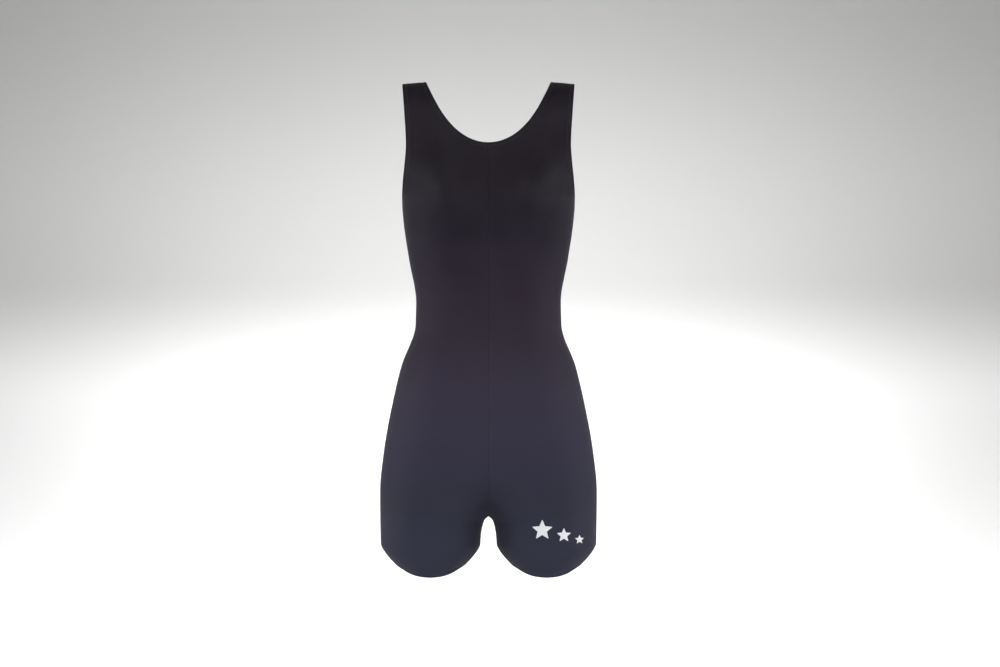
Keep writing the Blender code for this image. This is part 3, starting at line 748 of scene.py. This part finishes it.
class Garment:
    """The four panels, sewn."""

    def __init__(self):
        front, back = Panel(-1), Panel(1)
        self.front = {hand: front.mirrored(-1, sign) for hand, sign in HANDS.items()}
        self.back = {hand: back.mirrored(1, sign) for hand, sign in HANDS.items()}
        for hand in HANDS:
            sew(self.front[hand], self.back[hand])
        share_normals(self.panels())

    def panels(self):
        return [*self.front.values(), *self.back.values()]

    def around(self, opening, inset, depth):
        """The closed line round an opening, at one of the insets."""
        kind, _, hand = opening.partition("_")
        if kind == "neck":
            order = [self.front["left"], self.back["left"], self.back["right"], self.front["right"]]
            return loop([band_line(panel, 0, inset, depth) for panel in order])
        pair = [self.front[hand], self.back[hand]]
        if kind == "armhole":
            return loop([band_line(panel, -1, inset, depth) for panel in pair])
        return loop([line_in(panel, inset, depth) for panel in pair])

    def band(self, opening, first, last, near, far):
        """A layer round an opening, between two of the insets."""
        kind, _, hand = opening.partition("_")
        pair = self.panels() if kind == "neck" else [self.front[hand], self.back[hand]]
        if kind == "leg":
            return [layer(panel, slice(first, last + 1), ALL, near, far) for panel in pair]
        corner = slice(CORNER_ROW - last, CORNER_ROW - first + 1)
        patches = []
        for panel in pair:
            at_edge, in_band = slice(0, last + 1), slice(first, last + 1)
            if kind == "armhole":
                at_edge, in_band = slice(-last - 1, None), slice(-last - 1, -first or None)
            patches.append(layer(panel, corner, at_edge, near, far))
            patches.append(layer(panel, slice(CORNER_ROW, None), in_band, near, far))
        return patches


def fit(piece, *nodes, body="garment"):
    """The piece rides on its body and stands for those CAD nodes."""
    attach(piece, body)
    if nodes:
        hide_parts(*nodes)
    return piece


def make_panels(garment, finishes):
    made = {}
    for part, panels in (("front", garment.front), ("back", garment.back)):
        for hand, panel in panels.items():
            name = f"{part}_panel_{hand}"
            patch = layer(panel, ALL, ALL, outer_skin, inner_skin)
            made[name] = fit(sheet(f"{name}_cloth", [patch], finishes["knit"]), name), patch
    return made


def make_openings(garment, finishes):
    """At each opening the cloth turned in over its elastic, and the twin-needle stitching that holds it."""
    made = {}
    openings = ["neck"] + [f"{kind}_{hand}" for kind in ("armhole", "leg") for hand in HANDS]
    for opening in openings:
        kind, _, hand = opening.partition("_")
        tail = f"_{hand}" if hand else ""
        turned = garment.band(opening, 0, LAST, facing_near, facing_far)
        facing = sheet(f"{kind}_hem{tail}", turned, finishes["knit"])
        band = garment.band(opening, *ELASTIC_INSETS, ELASTIC_NEAR, ELASTIC_FAR)
        elastic = sheet(f"{kind}_band{tail}", band, finishes["elastic"])
        rows = []
        for inset in NEEDLE_INSETS:
            path, normals = garment.around(opening, inset, GROOVE - STITCH_PROUD)
            centres, across = evenly(path, normals, STITCH_PITCH, True)
            ahead = np.roll(centres, -1, axis=0) - np.roll(centres, 1, axis=0)
            rows.append(stitches(centres, ahead, across, STITCH_PITCH))
        lines = [garment.around(opening, inset, 2 * FOLD + THREAD_RADIUS / 2) for inset in NEEDLE_INSETS]
        rows.append(zigzag(lines, STITCH_PITCH / 2, True))
        cover = finished_object(f"{kind}_stitching{tail}", *merged(rows), finishes["thread"])
        fit(elastic, f"{kind}_elastic{tail}")
        fit(cover, f"{kind}_coverstitch{tail}")
        made[opening] = [fit(facing), elastic, cover]
    return made


def make_seams(garment, finishes):
    """The overlocked allowances inside: a ribbon of trimmed cloth wrapped in thread that goes to and fro."""
    leg_part, side_part = slice(LAST, CROTCH_ROW + 1), slice(LAST, BAND_ROW + 1)
    body_part = slice(CROTCH_ROW + 1, BAND_ROW + 1)
    lines = {
        "centre_front_seam": (garment.front["left"], body_part, 0),
        "centre_back_seam": (garment.back["left"], body_part, 0),
    }
    for hand in HANDS:
        lines[f"side_seam_{hand}"] = (garment.back[hand], side_part, -1)
        lines[f"inseam_{hand}"] = (garment.back[hand], leg_part, 0)
    made = {}
    for name, (panel, rows, edge) in lines.items():
        columns = slice(0, SEAM_INSET + 1) if edge == 0 else slice(-SEAM_INSET - 1, None)
        patch = layer(panel, rows, columns, SEAM_NEAR, SEAM_NEAR + SEAM)
        ribbon = sheet(f"{name}_allowance", [patch], finishes["knit"])
        ends = (1, SEAM_INSET) if edge == 0 else (-2, -1 - SEAM_INSET)
        rails = [line_in(panel, (rows, column), SEAM_NEAR + SEAM + THREAD_RADIUS / 2) for column in ends]
        wrap = zigzag(rails, OVERLOCK_PITCH, False)
        chain = thread(*evenly(*rails[0], OVERLOCK_PITCH, False), False)
        threads = finished_object(f"{name}_overlock", *merged([wrap, chain]), finishes["thread"])
        made[name] = [fit(ribbon, name), fit(threads)]
    return made


def make_shoulders(garment, finishes):
    """At each shoulder, the overlocked allowance and under it a clear tape held by two rows of stitches."""
    for hand, sign in HANDS.items():
        rows, columns = slice(-SHOULDER_ROWS, None), slice(LAST, -LAST)
        patch = layer(garment.back[hand], rows, columns, SEAM_NEAR, SEAM_NEAR + SEAM)
        fit(sheet(f"shoulder_seam_{hand}", [patch], finishes["knit"]))
        make_tape(hand, sign, finishes)


def make_tape(hand, sign, finishes):
    slope = math.atan(SHOULDER_SLOPE)
    along = np.array([sign * math.cos(slope), 0, -math.sin(slope)])
    up = np.array([sign * math.sin(slope), 0, math.cos(slope)])
    deep = np.array([0, 1.0, 0])
    middle = np.array([sign * STRAP_MIDDLE, 0, 0])
    lengths = np.linspace(-0.5, 0.5, TAPE_CELLS[0] + 1) * TAPE_LENGTH
    widths = np.linspace(-0.5, 0.5, TAPE_CELLS[1] + 1) * TAPE_WIDTH
    length, width = np.meshgrid(lengths, widths, indexing="ij")
    base = middle + length[..., None] * along + width[..., None] * deep
    rib = TAPE_RIB * (0.5 + 0.5 * np.cos(2 * np.pi * width / TAPE_RIB_PITCH))
    inside = np.minimum(TAPE_WIDTH / 2 - np.abs(width), TAPE_LENGTH / 2 - np.abs(length))
    edge = rounded(inside, TAPE_THICK / 2)
    far = base + up * (rib + edge)[..., None]
    near = base + up * (TAPE_THICK - edge)[..., None]
    cloth = np.stack([length, width, 0 * width], -1)
    name = f"shoulder_tape_{hand}"
    fit(sheet(f"{name}_clear", [(near, far, cloth)], finishes["tape"]), name)
    rows = []
    for place in (-TAPE_STITCH_ROW, TAPE_STITCH_ROW):
        row_middle = middle + place * deep + up * THREAD_RADIUS / 3
        rows.append(stitch_row(row_middle, along, -up, TAPE_LENGTH, STITCH_PITCH))
    fit(finished_object(f"{name}_stitches", *merged(rows), finishes["thread"]))


def over_centre_seam(place):
    """How far the linings are lifted off the cloth by the centre seam's allowance."""
    return LINING_RIDGE * (1 - smooth(place.arc, *SEAM_RIDGE))


def front_lining_near(place):
    below_neck = 1 - smooth(place.up, *[FRONT_NECK - BAND - drop for drop in NECK_RIDGE])
    return LINING_NEAR + over_centre_seam(place) * below_neck


def crotch_lining_near(place):
    return LINING_NEAR + over_centre_seam(place)


def deeper(depth, more):
    """The same depth and so much more."""
    return lambda place: depth(place) + more


def make_linings(garment, finishes):
    """The front lining, tucked under the hems and ended by an elastic, and the crotch lining."""
    foot = int(np.argmin(np.abs(garment.front["left"].points[:BAND_ROW, 0, 2] - LINING_FOOT)))
    tucked = CORNER_ROW - LINING_INSET
    depths = (front_lining_near, deeper(front_lining_near, LINING))
    lining = []
    for hand in HANDS:
        panel = garment.front[hand]
        lining.append(layer(panel, slice(foot, tucked + 1), ALL, *depths))
        lining.append(layer(panel, slice(CORNER_ROW, None), slice(LINING_INSET, -LINING_INSET), *depths))
    front = fit(sheet("front_lining_mesh", lining, finishes["lining"]), "front_lining")
    rows = slice(foot, foot + FOOT_ROWS + 1)
    depths = [deeper(front_lining_near, LINING + GAP + more) for more in (0, FOOT_BAND)]
    band = [layer(garment.front[hand], rows, ALL, *depths) for hand in HANDS]
    elastic = fit(sheet("underbust_band", band, finishes["elastic"]), "underbust_elastic")
    gusset = []
    for panel in garment.panels():
        rows = slice(CROTCH_ROW - CROTCH_LEG_ROWS, CROTCH_ROW + CROTCH_BODY_ROWS)
        columns = slice(0, LAST + CROTCH_COLUMNS)
        gusset.append(layer(panel, rows, columns, crotch_lining_near, deeper(crotch_lining_near, LINING)))
    crotch = fit(sheet("crotch_lining_mesh", gusset, finishes["lining"]), "crotch_lining")


def make_label(garment, finishes):
    """The blank satin label, folded at its foot, and the row of stitches that holds it by its top edge."""
    panel = garment.back["left"]
    top, low = panel.points[CORNER_ROW, 0], panel.points[CORNER_ROW - LABEL_SPAN, 0]
    hang = unit(low - top)
    inward = np.array([0, hang[2], -hang[1]])
    hinge = top + hang * LABEL_LOWERING + inward * LABEL_DEPTH
    lengths = np.linspace(0, 1, LABEL_CELLS[0] + 1)
    widths = np.linspace(-0.5, 0.5, LABEL_CELLS[1] + 1)
    leaves = []
    for leaf in (0, 1):
        length, width = np.meshgrid(lengths, widths, indexing="ij")
        curl = LABEL_CURL * length**2 * (1 - 3 * width**2)
        open_by = LABEL_OPEN * np.sin(np.pi * length) * (leaf - 0.5)
        depth = curl + open_by + leaf * LABEL_LEAF
        drop = CLEARANCE + length * (LABEL_DROP - LABEL_LEAF)
        points = hinge + drop[..., None] * hang + depth[..., None] * inward
        points = points + (width * LABEL_WIDTH)[..., None] * ACROSS
        leaves.append((points, np.stack([width * LABEL_WIDTH, length * LABEL_DROP, 0 * width], -1)))
    folded = [np.vstack([leaves[0][k], leaves[1][k][::-1]]) for k in (0, 1)]
    thick = inward * LABEL_CLOTH * np.repeat([-1, 1], len(lengths))[:, None, None]
    patch = (folded[0] + thick / 2, folded[0] - thick / 2, folded[1])
    label = fit(sheet("neck_label_satin", [patch], finishes["label"]), "neck_label", body="label")
    middle = hinge - hang * CLEARANCE - inward * TACK_BEHIND_HINGE
    row = stitch_row(middle, ACROSS, inward, LABEL_WIDTH, LABEL_STITCH)
    fit(finished_object("neck_label_stitches", *row, finishes["thread"]), "label_tack")


def star_outline(angle):
    """How far a star with softened points reaches in a direction, as a share of its radius."""
    half_step = math.pi / STAR_POINTS
    theta = np.abs((angle / half_step + 1) % 2 - 1) * half_step
    point, waist = np.array([0, 1.0]), STAR_WAIST * np.array([math.sin(half_step), math.cos(half_step)])
    edge = waist - point
    reach = (point[0] * edge[1] - point[1] * edge[0]) / (np.sin(theta) * edge[1] - np.cos(theta) * edge[0])
    return np.minimum(reach, 1 - STAR_BLUNT + 0 * theta)


def make_stars(panel_piece, finishes):
    """Three stars of print on the front of the left thigh: films that follow the cloth."""
    mesh = panel_piece.data
    tree = BVHTree.FromPolygons([v.co for v in mesh.vertices], [tuple(p.vertices) for p in mesh.polygons])
    angles = 2 * np.pi * np.arange(STAR_SPOKES) / STAR_SPOKES
    for size, (across, height, radius) in STARS.items():
        near, far = [], []
        for share in [*np.linspace(*STAR_SHARES, STAR_RINGS), 1]:
            reach = radius * share * star_outline(angles)
            thick = FILM * (FILM_EDGE if share == 1 else 1)
            hits = []
            for x, z in zip(across + reach * np.sin(angles), height + reach * np.cos(angles)):
                start = Vector(form_point(-1, x, z)) - Vector((0, REACH, 0))
                hits.append(tree.ray_cast(start, Vector((0, 1, 0)))[:2])
            near.append([place + normal * (FILM_LIFT + thick) for place, normal in hits])
            far.append([place + normal * FILM_LIFT / 2 for place, normal in hits])
        film = tube(np.array(near + far[::-1]), False)
        star = finished_object(f"thigh_star_{size}_print", *film, finishes["print"])
        fit(star, f"thigh_star_{size}")


# The knit's painted light and shade by height on the pattern, down to the hems: darkest under the bust and a
# little darker across the upper thighs as painted shade, paler and bluer towards the hips and hems as painted
# light from below; and the colour of its paler patches.
KNIT_PAINTED_LIGHT_BY_HEIGHT = [
    (-0.12, (0.0070, 0.0040, 0.0075)),
    (-0.17, (0.0055, 0.0028, 0.0070)),
    (-0.21, (0.0030, 0.0014, 0.0058)),
    (-0.25, (0.0085, 0.0040, 0.0110)),
    (-0.30, (0.0125, 0.0060, 0.0170)),
    (-0.38, (0.0180, 0.0112, 0.0218)),
    (-0.46, (0.0265, 0.0200, 0.0365)),
    (-0.53, (0.0255, 0.0216, 0.0438)),
    (-0.60, (0.0194, 0.0182, 0.0358)),
    (-0.65, (0.0180, 0.0188, 0.0342)),
    (-0.71, (0.0225, 0.0245, 0.0425)),
]
KNIT_PALE = (0.024, 0.022, 0.034)


class Graph:
    """The node tree of one finish, with short ways to add nodes and join them."""

    def __init__(self, slot, colour, roughness, **sockets):
        self.material = bpy.data.materials.new(slot)
        self.material.use_nodes = True
        self.tree = self.material.node_tree
        self.shader = self.tree.nodes["Principled BSDF"]
        self.shader.inputs["Base Color"].default_value = (*colour, 1)
        self.shader.inputs["Roughness"].default_value = roughness
        for socket, value in sockets.items():
            self.shader.inputs[socket.replace("_", " ")].default_value = value
        self.slot = slot
        self.place = self.node("ShaderNodeTexCoord").outputs["Object"]
        cloth = self.node("ShaderNodeAttribute", attribute_name="cloth")
        self.arc, self.up, self.opening = self.apart(cloth.outputs["Vector"])

    def node(self, kind, **settings):
        made = self.tree.nodes.new(kind)
        for setting, value in settings.items():
            setattr(made, setting, value)
        return made

    def put(self, value, socket):
        """A value or another node's output goes into a socket."""
        if isinstance(value, bpy.types.NodeSocket):
            self.tree.links.new(value, socket)
        else:
            socket.default_value = value

    def apart(self, vector):
        """The three numbers of a vector."""
        made = self.node("ShaderNodeSeparateXYZ")
        self.put(vector, made.inputs[0])
        return made.outputs

    def math(self, operation, *values):
        made = self.node("ShaderNodeMath", operation=operation)
        for value, socket in zip(values, made.inputs):
            self.put(value, socket)
        return made.outputs[0]

    def times(self, first, second):
        return self.math("MULTIPLY", first, second)

    def noise(self, size, detail=2.0, roughness=0.5):
        """Smooth noise whose lumps are about that size."""
        made = self.node("ShaderNodeTexNoise")
        self.put(self.place, made.inputs["Vector"])
        made.inputs["Scale"].default_value = 1 / size
        made.inputs["Detail"].default_value = detail
        made.inputs["Roughness"].default_value = roughness
        return made.outputs["Fac"]

    def between(self, value, low, high, at_low=0.0, at_high=1.0):
        """The value mapped smoothly from low..high to at_low..at_high."""
        made = self.node("ShaderNodeMapRange", interpolation_type="SMOOTHSTEP")
        for socket, number in zip(made.inputs[:5], (value, low, high, at_low, at_high)):
            self.put(number, socket)
        return made.outputs[0]

    def uneven(self, size, low, high):
        """A value that drifts between two others in patches of about that size."""
        return self.between(self.noise(size), 0.3, 0.7, low, high)

    def texture(self, kind, scale, **settings):
        """A ready-made texture over the object, at that scale."""
        made = self.node(kind, **settings)
        self.put(self.place, made.inputs["Vector"])
        made.inputs["Scale"].default_value = scale
        return made

    def mixed(self, share, first, second):
        """A colour between two."""
        made = self.node("ShaderNodeMix", data_type="RGBA")
        colours = [socket for socket in made.inputs if socket.type == "RGBA"]
        self.put(share, made.inputs[0])
        for value, socket in zip((first, second), colours):
            self.put((*value, 1) if isinstance(value, tuple) else value, socket)
        return [socket for socket in made.outputs if socket.type == "RGBA"][0]

    def by_height(self, stops):
        """A colour that changes smoothly with the height on the pattern, through (height, colour) stops."""
        (top, first), (foot, last) = stops[0], stops[-1]
        ramp = self.node("ShaderNodeValToRGB")
        ramp.color_ramp.interpolation = "B_SPLINE"
        share = self.math("DIVIDE", self.math("SUBTRACT", self.up, top), foot - top)
        self.put(share, ramp.inputs[0])
        stretch = ramp.color_ramp.elements
        stretch[0].color, stretch[1].color = (*first, 1), (*last, 1)
        for height, colour in stops[1:-1]:
            stretch.new((height - top) / (foot - top)).color = (*colour, 1)
        return ramp.outputs["Color"]

    def waves(self, value, pitch, phase=0.0):
        """0 to 1 and back, once each pitch."""
        turn = self.math("MULTIPLY_ADD", value, 2 * math.pi / pitch, phase)
        return self.math("MULTIPLY_ADD", self.math("SINE", turn), 0.5, 0.5)

    def bump(self, height, deep, below=None):
        """Height from 0 to 1, that many metres deep."""
        made = self.node("ShaderNodeBump")
        made.inputs["Distance"].default_value = deep
        self.put(height, made.inputs["Height"])
        if below is not None:
            self.put(below, made.inputs["Normal"])
        return made.outputs[0]

    def finish(self, colour, roughness=None, normal=None):
        for value, socket in ((colour, "Base Color"), (roughness, "Roughness"), (normal, "Normal")):
            if value is not None:
                self.put(value, self.shader.inputs[socket])
        return {"material": self.material, "slot": self.slot}


def knit_stitches(graph):
    """The height of a fine jersey: columns of small V stitches across the cloth."""
    across = graph.math("FRACT", graph.math("DIVIDE", graph.arc, WALE))
    away = graph.math("ABSOLUTE", graph.math("SUBTRACT", across, 0.5))
    lean = graph.times(away, 2 * math.pi * STITCH_LEAN)
    rise = graph.math("MULTIPLY_ADD", graph.up, 2 * math.pi / COURSE, lean)
    loops = graph.math("MULTIPLY_ADD", graph.math("SINE", rise), 0.3, 0.7)
    crown = graph.math("SUBTRACT", 1.0, graph.times(graph.times(away, away), 3.2))
    return graph.times(crown, loops)


def knit_finish():
    """Dense near-black stretch jersey with painted light and shade by height, painted shade under the bust
    and painted light, paler and bluer, towards the hips, with a soft sheen.
    """
    graph = Graph("knit", KNIT_PAINTED_LIGHT_BY_HEIGHT[0][1], 0.6, Specular_IOR_Level=0.16, Sheen_Weight=0.07,
                  Sheen_Roughness=0.5, Sheen_Tint=(0.85, 0.82, 0.95, 1))
    height = knit_stitches(graph)
    heather = graph.noise(HEATHER, 3.0, 0.65)
    # Painted light and shade: darker under the bust, paler and bluer towards the hips and legs.
    painted_light_by_height = graph.by_height(KNIT_PAINTED_LIGHT_BY_HEIGHT)
    light = graph.mixed(graph.uneven(CLOUDS, 0.0, 0.16), painted_light_by_height, KNIT_PALE)
    worn = graph.mixed(graph.between(heather, 0.45, 0.75, 0.0, 0.12), light, KNIT_PALE)
    edge = graph.between(graph.opening, 0.0, 0.0016, 0.3, 0.0)
    colour = graph.mixed(edge, worn, KNIT_PALE)
    pile = graph.bump(height, 0.00003, graph.bump(graph.noise(0.0011), 0.00003))
    drawn = graph.waves(graph.up, HEM_PUCKER)
    pucker = graph.times(drawn, graph.between(graph.opening, 0.002, 0.009, 1.0, 0.0))
    normal = graph.bump(pucker, 0.00004, pile)
    roughness = graph.between(heather, 0.3, 0.7, 0.56, 0.66)
    return graph.finish(colour, roughness, normal)


def lining_finish():
    """Fine power mesh: a dull dark net with rows of pin holes."""
    graph = Graph("lining", (0.017, 0.0165, 0.019), 0.8, Sheen_Weight=0.15, Sheen_Roughness=0.5)
    rows = []
    for shift in (0, math.pi):
        rows.append(graph.times(*[graph.waves(way, MESH_PITCH, shift) for way in (graph.arc, graph.up)]))
    holes = graph.between(graph.math("MAXIMUM", *rows), 0.55, 0.85)
    colour = graph.mixed(holes, (0.019, 0.0185, 0.021), (0.006, 0.006, 0.007))
    net = graph.math("SUBTRACT", 1.0, holes)
    normal = graph.bump(net, 0.00008, graph.bump(graph.noise(0.012), 0.0003))
    return graph.finish(colour, graph.uneven(0.004, 0.74, 0.86), normal)


def elastic_finish():
    """Narrow woven elastic: lengthwise ribs crossed by fine weft."""
    graph = Graph("elastic", (0.03, 0.03, 0.033), 0.6, Sheen_Weight=0.1)
    ribs = graph.math("MAXIMUM", *[graph.waves(way, ELASTIC_RIB) for way in (graph.opening, graph.up)])
    weft = graph.waves(graph.arc, ELASTIC_WEFT)
    height = graph.math("MULTIPLY_ADD", weft, 0.35, ribs)
    colour = graph.mixed(graph.between(height, 0.4, 1.2), (0.018, 0.018, 0.02), (0.04, 0.04, 0.044))
    normal = graph.bump(height, 0.00012)
    return graph.finish(colour, graph.uneven(0.003, 0.55, 0.7), normal)


def thread_finish():
    """Textured polyester thread: fine twisted plies with a slight gloss."""
    graph = Graph("thread", (0.016, 0.0155, 0.019), 0.5, Specular_IOR_Level=0.45, Sheen_Weight=0.2)
    plies = graph.texture("ShaderNodeTexWave", PLIES, wave_type="BANDS", bands_direction="DIAGONAL")
    plies.inputs["Distortion"].default_value = 1.5
    twist = plies.outputs["Fac"]
    colour = graph.mixed(twist, (0.010, 0.0098, 0.0125), (0.024, 0.023, 0.028))
    roughness = graph.uneven(0.002, 0.42, 0.6)
    return graph.finish(colour, roughness, graph.bump(twist, 0.00003))


def tape_finish():
    """Clear elastic tape: milky translucent plastic with fine lengthwise ribs."""
    graph = Graph("tape", (0.72, 0.74, 0.76), 0.3, Transmission_Weight=0.55, IOR=1.46)
    haze = graph.noise(0.002, 3.0)
    colour = graph.mixed(haze, (0.62, 0.64, 0.66), (0.8, 0.82, 0.83))
    normal = graph.bump(graph.noise(0.0006), 0.00002)
    return graph.finish(colour, graph.between(haze, 0.3, 0.7, 0.22, 0.42), normal)


def label_finish():
    """White satin: long shining floats across fine ribs, and a denser woven border along both edges."""
    graph = Graph("label", (0.68, 0.675, 0.66), 0.36, Sheen_Weight=0.2, Anisotropic=0.4)
    floats = graph.times(graph.waves(graph.arc, SATIN_FLOAT), graph.waves(graph.up, SATIN_RIB))
    away = graph.math("ABSOLUTE", graph.arc)
    border = graph.between(away, *[LABEL_WIDTH / 2 - inside for inside in BORDER_ENDS])
    satin = graph.mixed(floats, (0.60, 0.595, 0.575), (0.74, 0.735, 0.72))
    colour = graph.mixed(border, satin, (0.5, 0.495, 0.48))
    height = graph.math("MULTIPLY_ADD", graph.waves(graph.up, BORDER_RIB), border, floats)
    roughness = graph.uneven(0.003, 0.3, 0.42)
    return graph.finish(colour, roughness, graph.bump(height, 0.00003))


def print_finish():
    """Soft white print: an even film that lets the knit show through faintly and has fine stretch cracks."""
    graph = Graph("print", (0.72, 0.72, 0.73), 0.42, Specular_IOR_Level=0.4)
    cells = graph.texture("ShaderNodeTexVoronoi", CRACKS, feature="DISTANCE_TO_EDGE")
    cracks = graph.between(cells.outputs["Distance"], 0.0, 0.05, 1.0, 0.0)
    where = graph.between(graph.noise(0.009), 0.52, 0.68)
    worn = graph.times(cracks, graph.times(where, 0.5))
    patchy = graph.mixed(graph.noise(0.003, 3.0), (0.68, 0.68, 0.70), (0.78, 0.78, 0.79))
    colour = graph.mixed(worn, patchy, (0.3, 0.3, 0.32))
    telegraph = graph.texture("ShaderNodeTexWave", WALES_THROUGH, wave_type="BANDS", bands_direction="X")
    normal = graph.bump(worn, 0.00004, graph.bump(telegraph.outputs["Fac"], 0.000012))
    return graph.finish(colour, graph.uneven(0.002, 0.38, 0.5), normal)


def paper_finish():
    """Matt studio paper, white on the floor, with painted shade that turns it grey up the wall behind the
    garment.
    """
    graph = Graph("backdrop_paper", PAPER_WHITE, 0.9, Specular_IOR_Level=0.1)
    _, back, height = graph.apart(graph.place)
    # Painted shade: grey up the wall behind the garment, in two fades.
    behind = graph.between(back, *PAPER_SHADE_BEHIND)
    low, high = [graph.times(graph.between(height, *fade), behind) for fade in PAPER_SHADE_FADES]
    return graph.finish(graph.mixed(high, graph.mixed(low, PAPER_WHITE, PAPER_SHADE_GREY), PAPER_SHADE_TOP))["material"]


def make_backdrop():
    """A round pale floor that sweeps up all round into a wall, open at the top."""
    bend = np.linspace(0, math.pi / 2, SWEEP_STEPS)
    profile = [(FLOOR_MIDDLE, FLOOR)]
    profile += [(WALL_RADIUS - SWEEP * (1 - math.sin(a)), FLOOR + SWEEP * (1 - math.cos(a))) for a in bend]
    profile.append((WALL_RADIUS, WALL_TOP))
    turns = [2 * math.pi * k / ROUND_STEPS for k in range(ROUND_STEPS)]
    rings = [[(r * math.cos(a), r * math.sin(a), z) for a in turns] for r, z in profile]
    points, faces = tube(np.array(rings), False)
    mesh = bpy.data.meshes.new("backdrop")
    # The last face would close the top.
    mesh.from_pydata(points, [], faces[:-1])
    mesh.shade_smooth()
    mesh.materials.append(paper_finish())
    placed("backdrop", mesh)


def add_light(name, place, target, size, power, colour):
    """A soft rectangular light that faces its target."""
    light = bpy.data.lights.new(name, "AREA")
    light.shape = "RECTANGLE"
    light.size, light.size_y = size
    light.energy = power
    light.color = colour
    made = placed(name, light)
    made.location = place
    made.rotation_mode = "QUATERNION"
    made.rotation_quaternion = (Vector(place) - Vector(target)).to_track_quat("Z", "Y")
    made.visible_camera = False


def make_lights():
    """The listed lights, a ring of washes on the rest of the wall, and a weak even light from all round."""
    for light in LIGHTS:
        add_light(*light)
    for k in range(RING_LIGHTS):
        angle = math.pi / 2 + (k + 1) * 2 * math.pi / (RING_LIGHTS + 1)
        ends = [(r * math.cos(angle), r * math.sin(angle), height) for r, height in RING_ENDS]
        add_light(f"ring_{k}", *ends, RING_SIZE, RING_POWER, (1, 1, 1))
    world = bpy.data.worlds.new("studio")
    world.use_nodes = True
    background = world.node_tree.nodes["Background"]
    background.inputs["Color"].default_value = (*WORLD_COLOUR, 1)
    background.inputs["Strength"].default_value = WORLD_STRENGTH
    bpy.context.scene.world = world
    bpy.context.scene.view_settings.view_transform = "Standard"


def make_camera():
    """A level camera in front of the garment, a little to its left and at the height of its hips."""
    camera = bpy.data.cameras.new("camera")
    camera.sensor_width = SENSOR_WIDTH
    camera.clip_end = SIGHT
    camera.lens = SENSOR_WIDTH * CAMERA_DISTANCE / FRAME_WIDTH
    made = placed("camera", camera)
    made.location = (CAMERA_ACROSS, -CAMERA_DISTANCE, CAMERA_HEIGHT)
    made.rotation_euler = (math.pi / 2, 0, 0)
    bpy.context.scene.camera = made


def main():
    garment = Garment()
    made = [knit_finish(), lining_finish(), elastic_finish(), thread_finish()]
    made += [tape_finish(), label_finish(), print_finish()]
    finishes = {finish["slot"]: finish for finish in made}
    panels = make_panels(garment, finishes)
    openings = make_openings(garment, finishes)
    seams = make_seams(garment, finishes)
    make_shoulders(garment, finishes)
    make_linings(garment, finishes)
    make_label(garment, finishes)
    make_stars(panels["front_panel_left"][0], finishes)
    make_backdrop()
    make_lights()
    make_camera()


main()
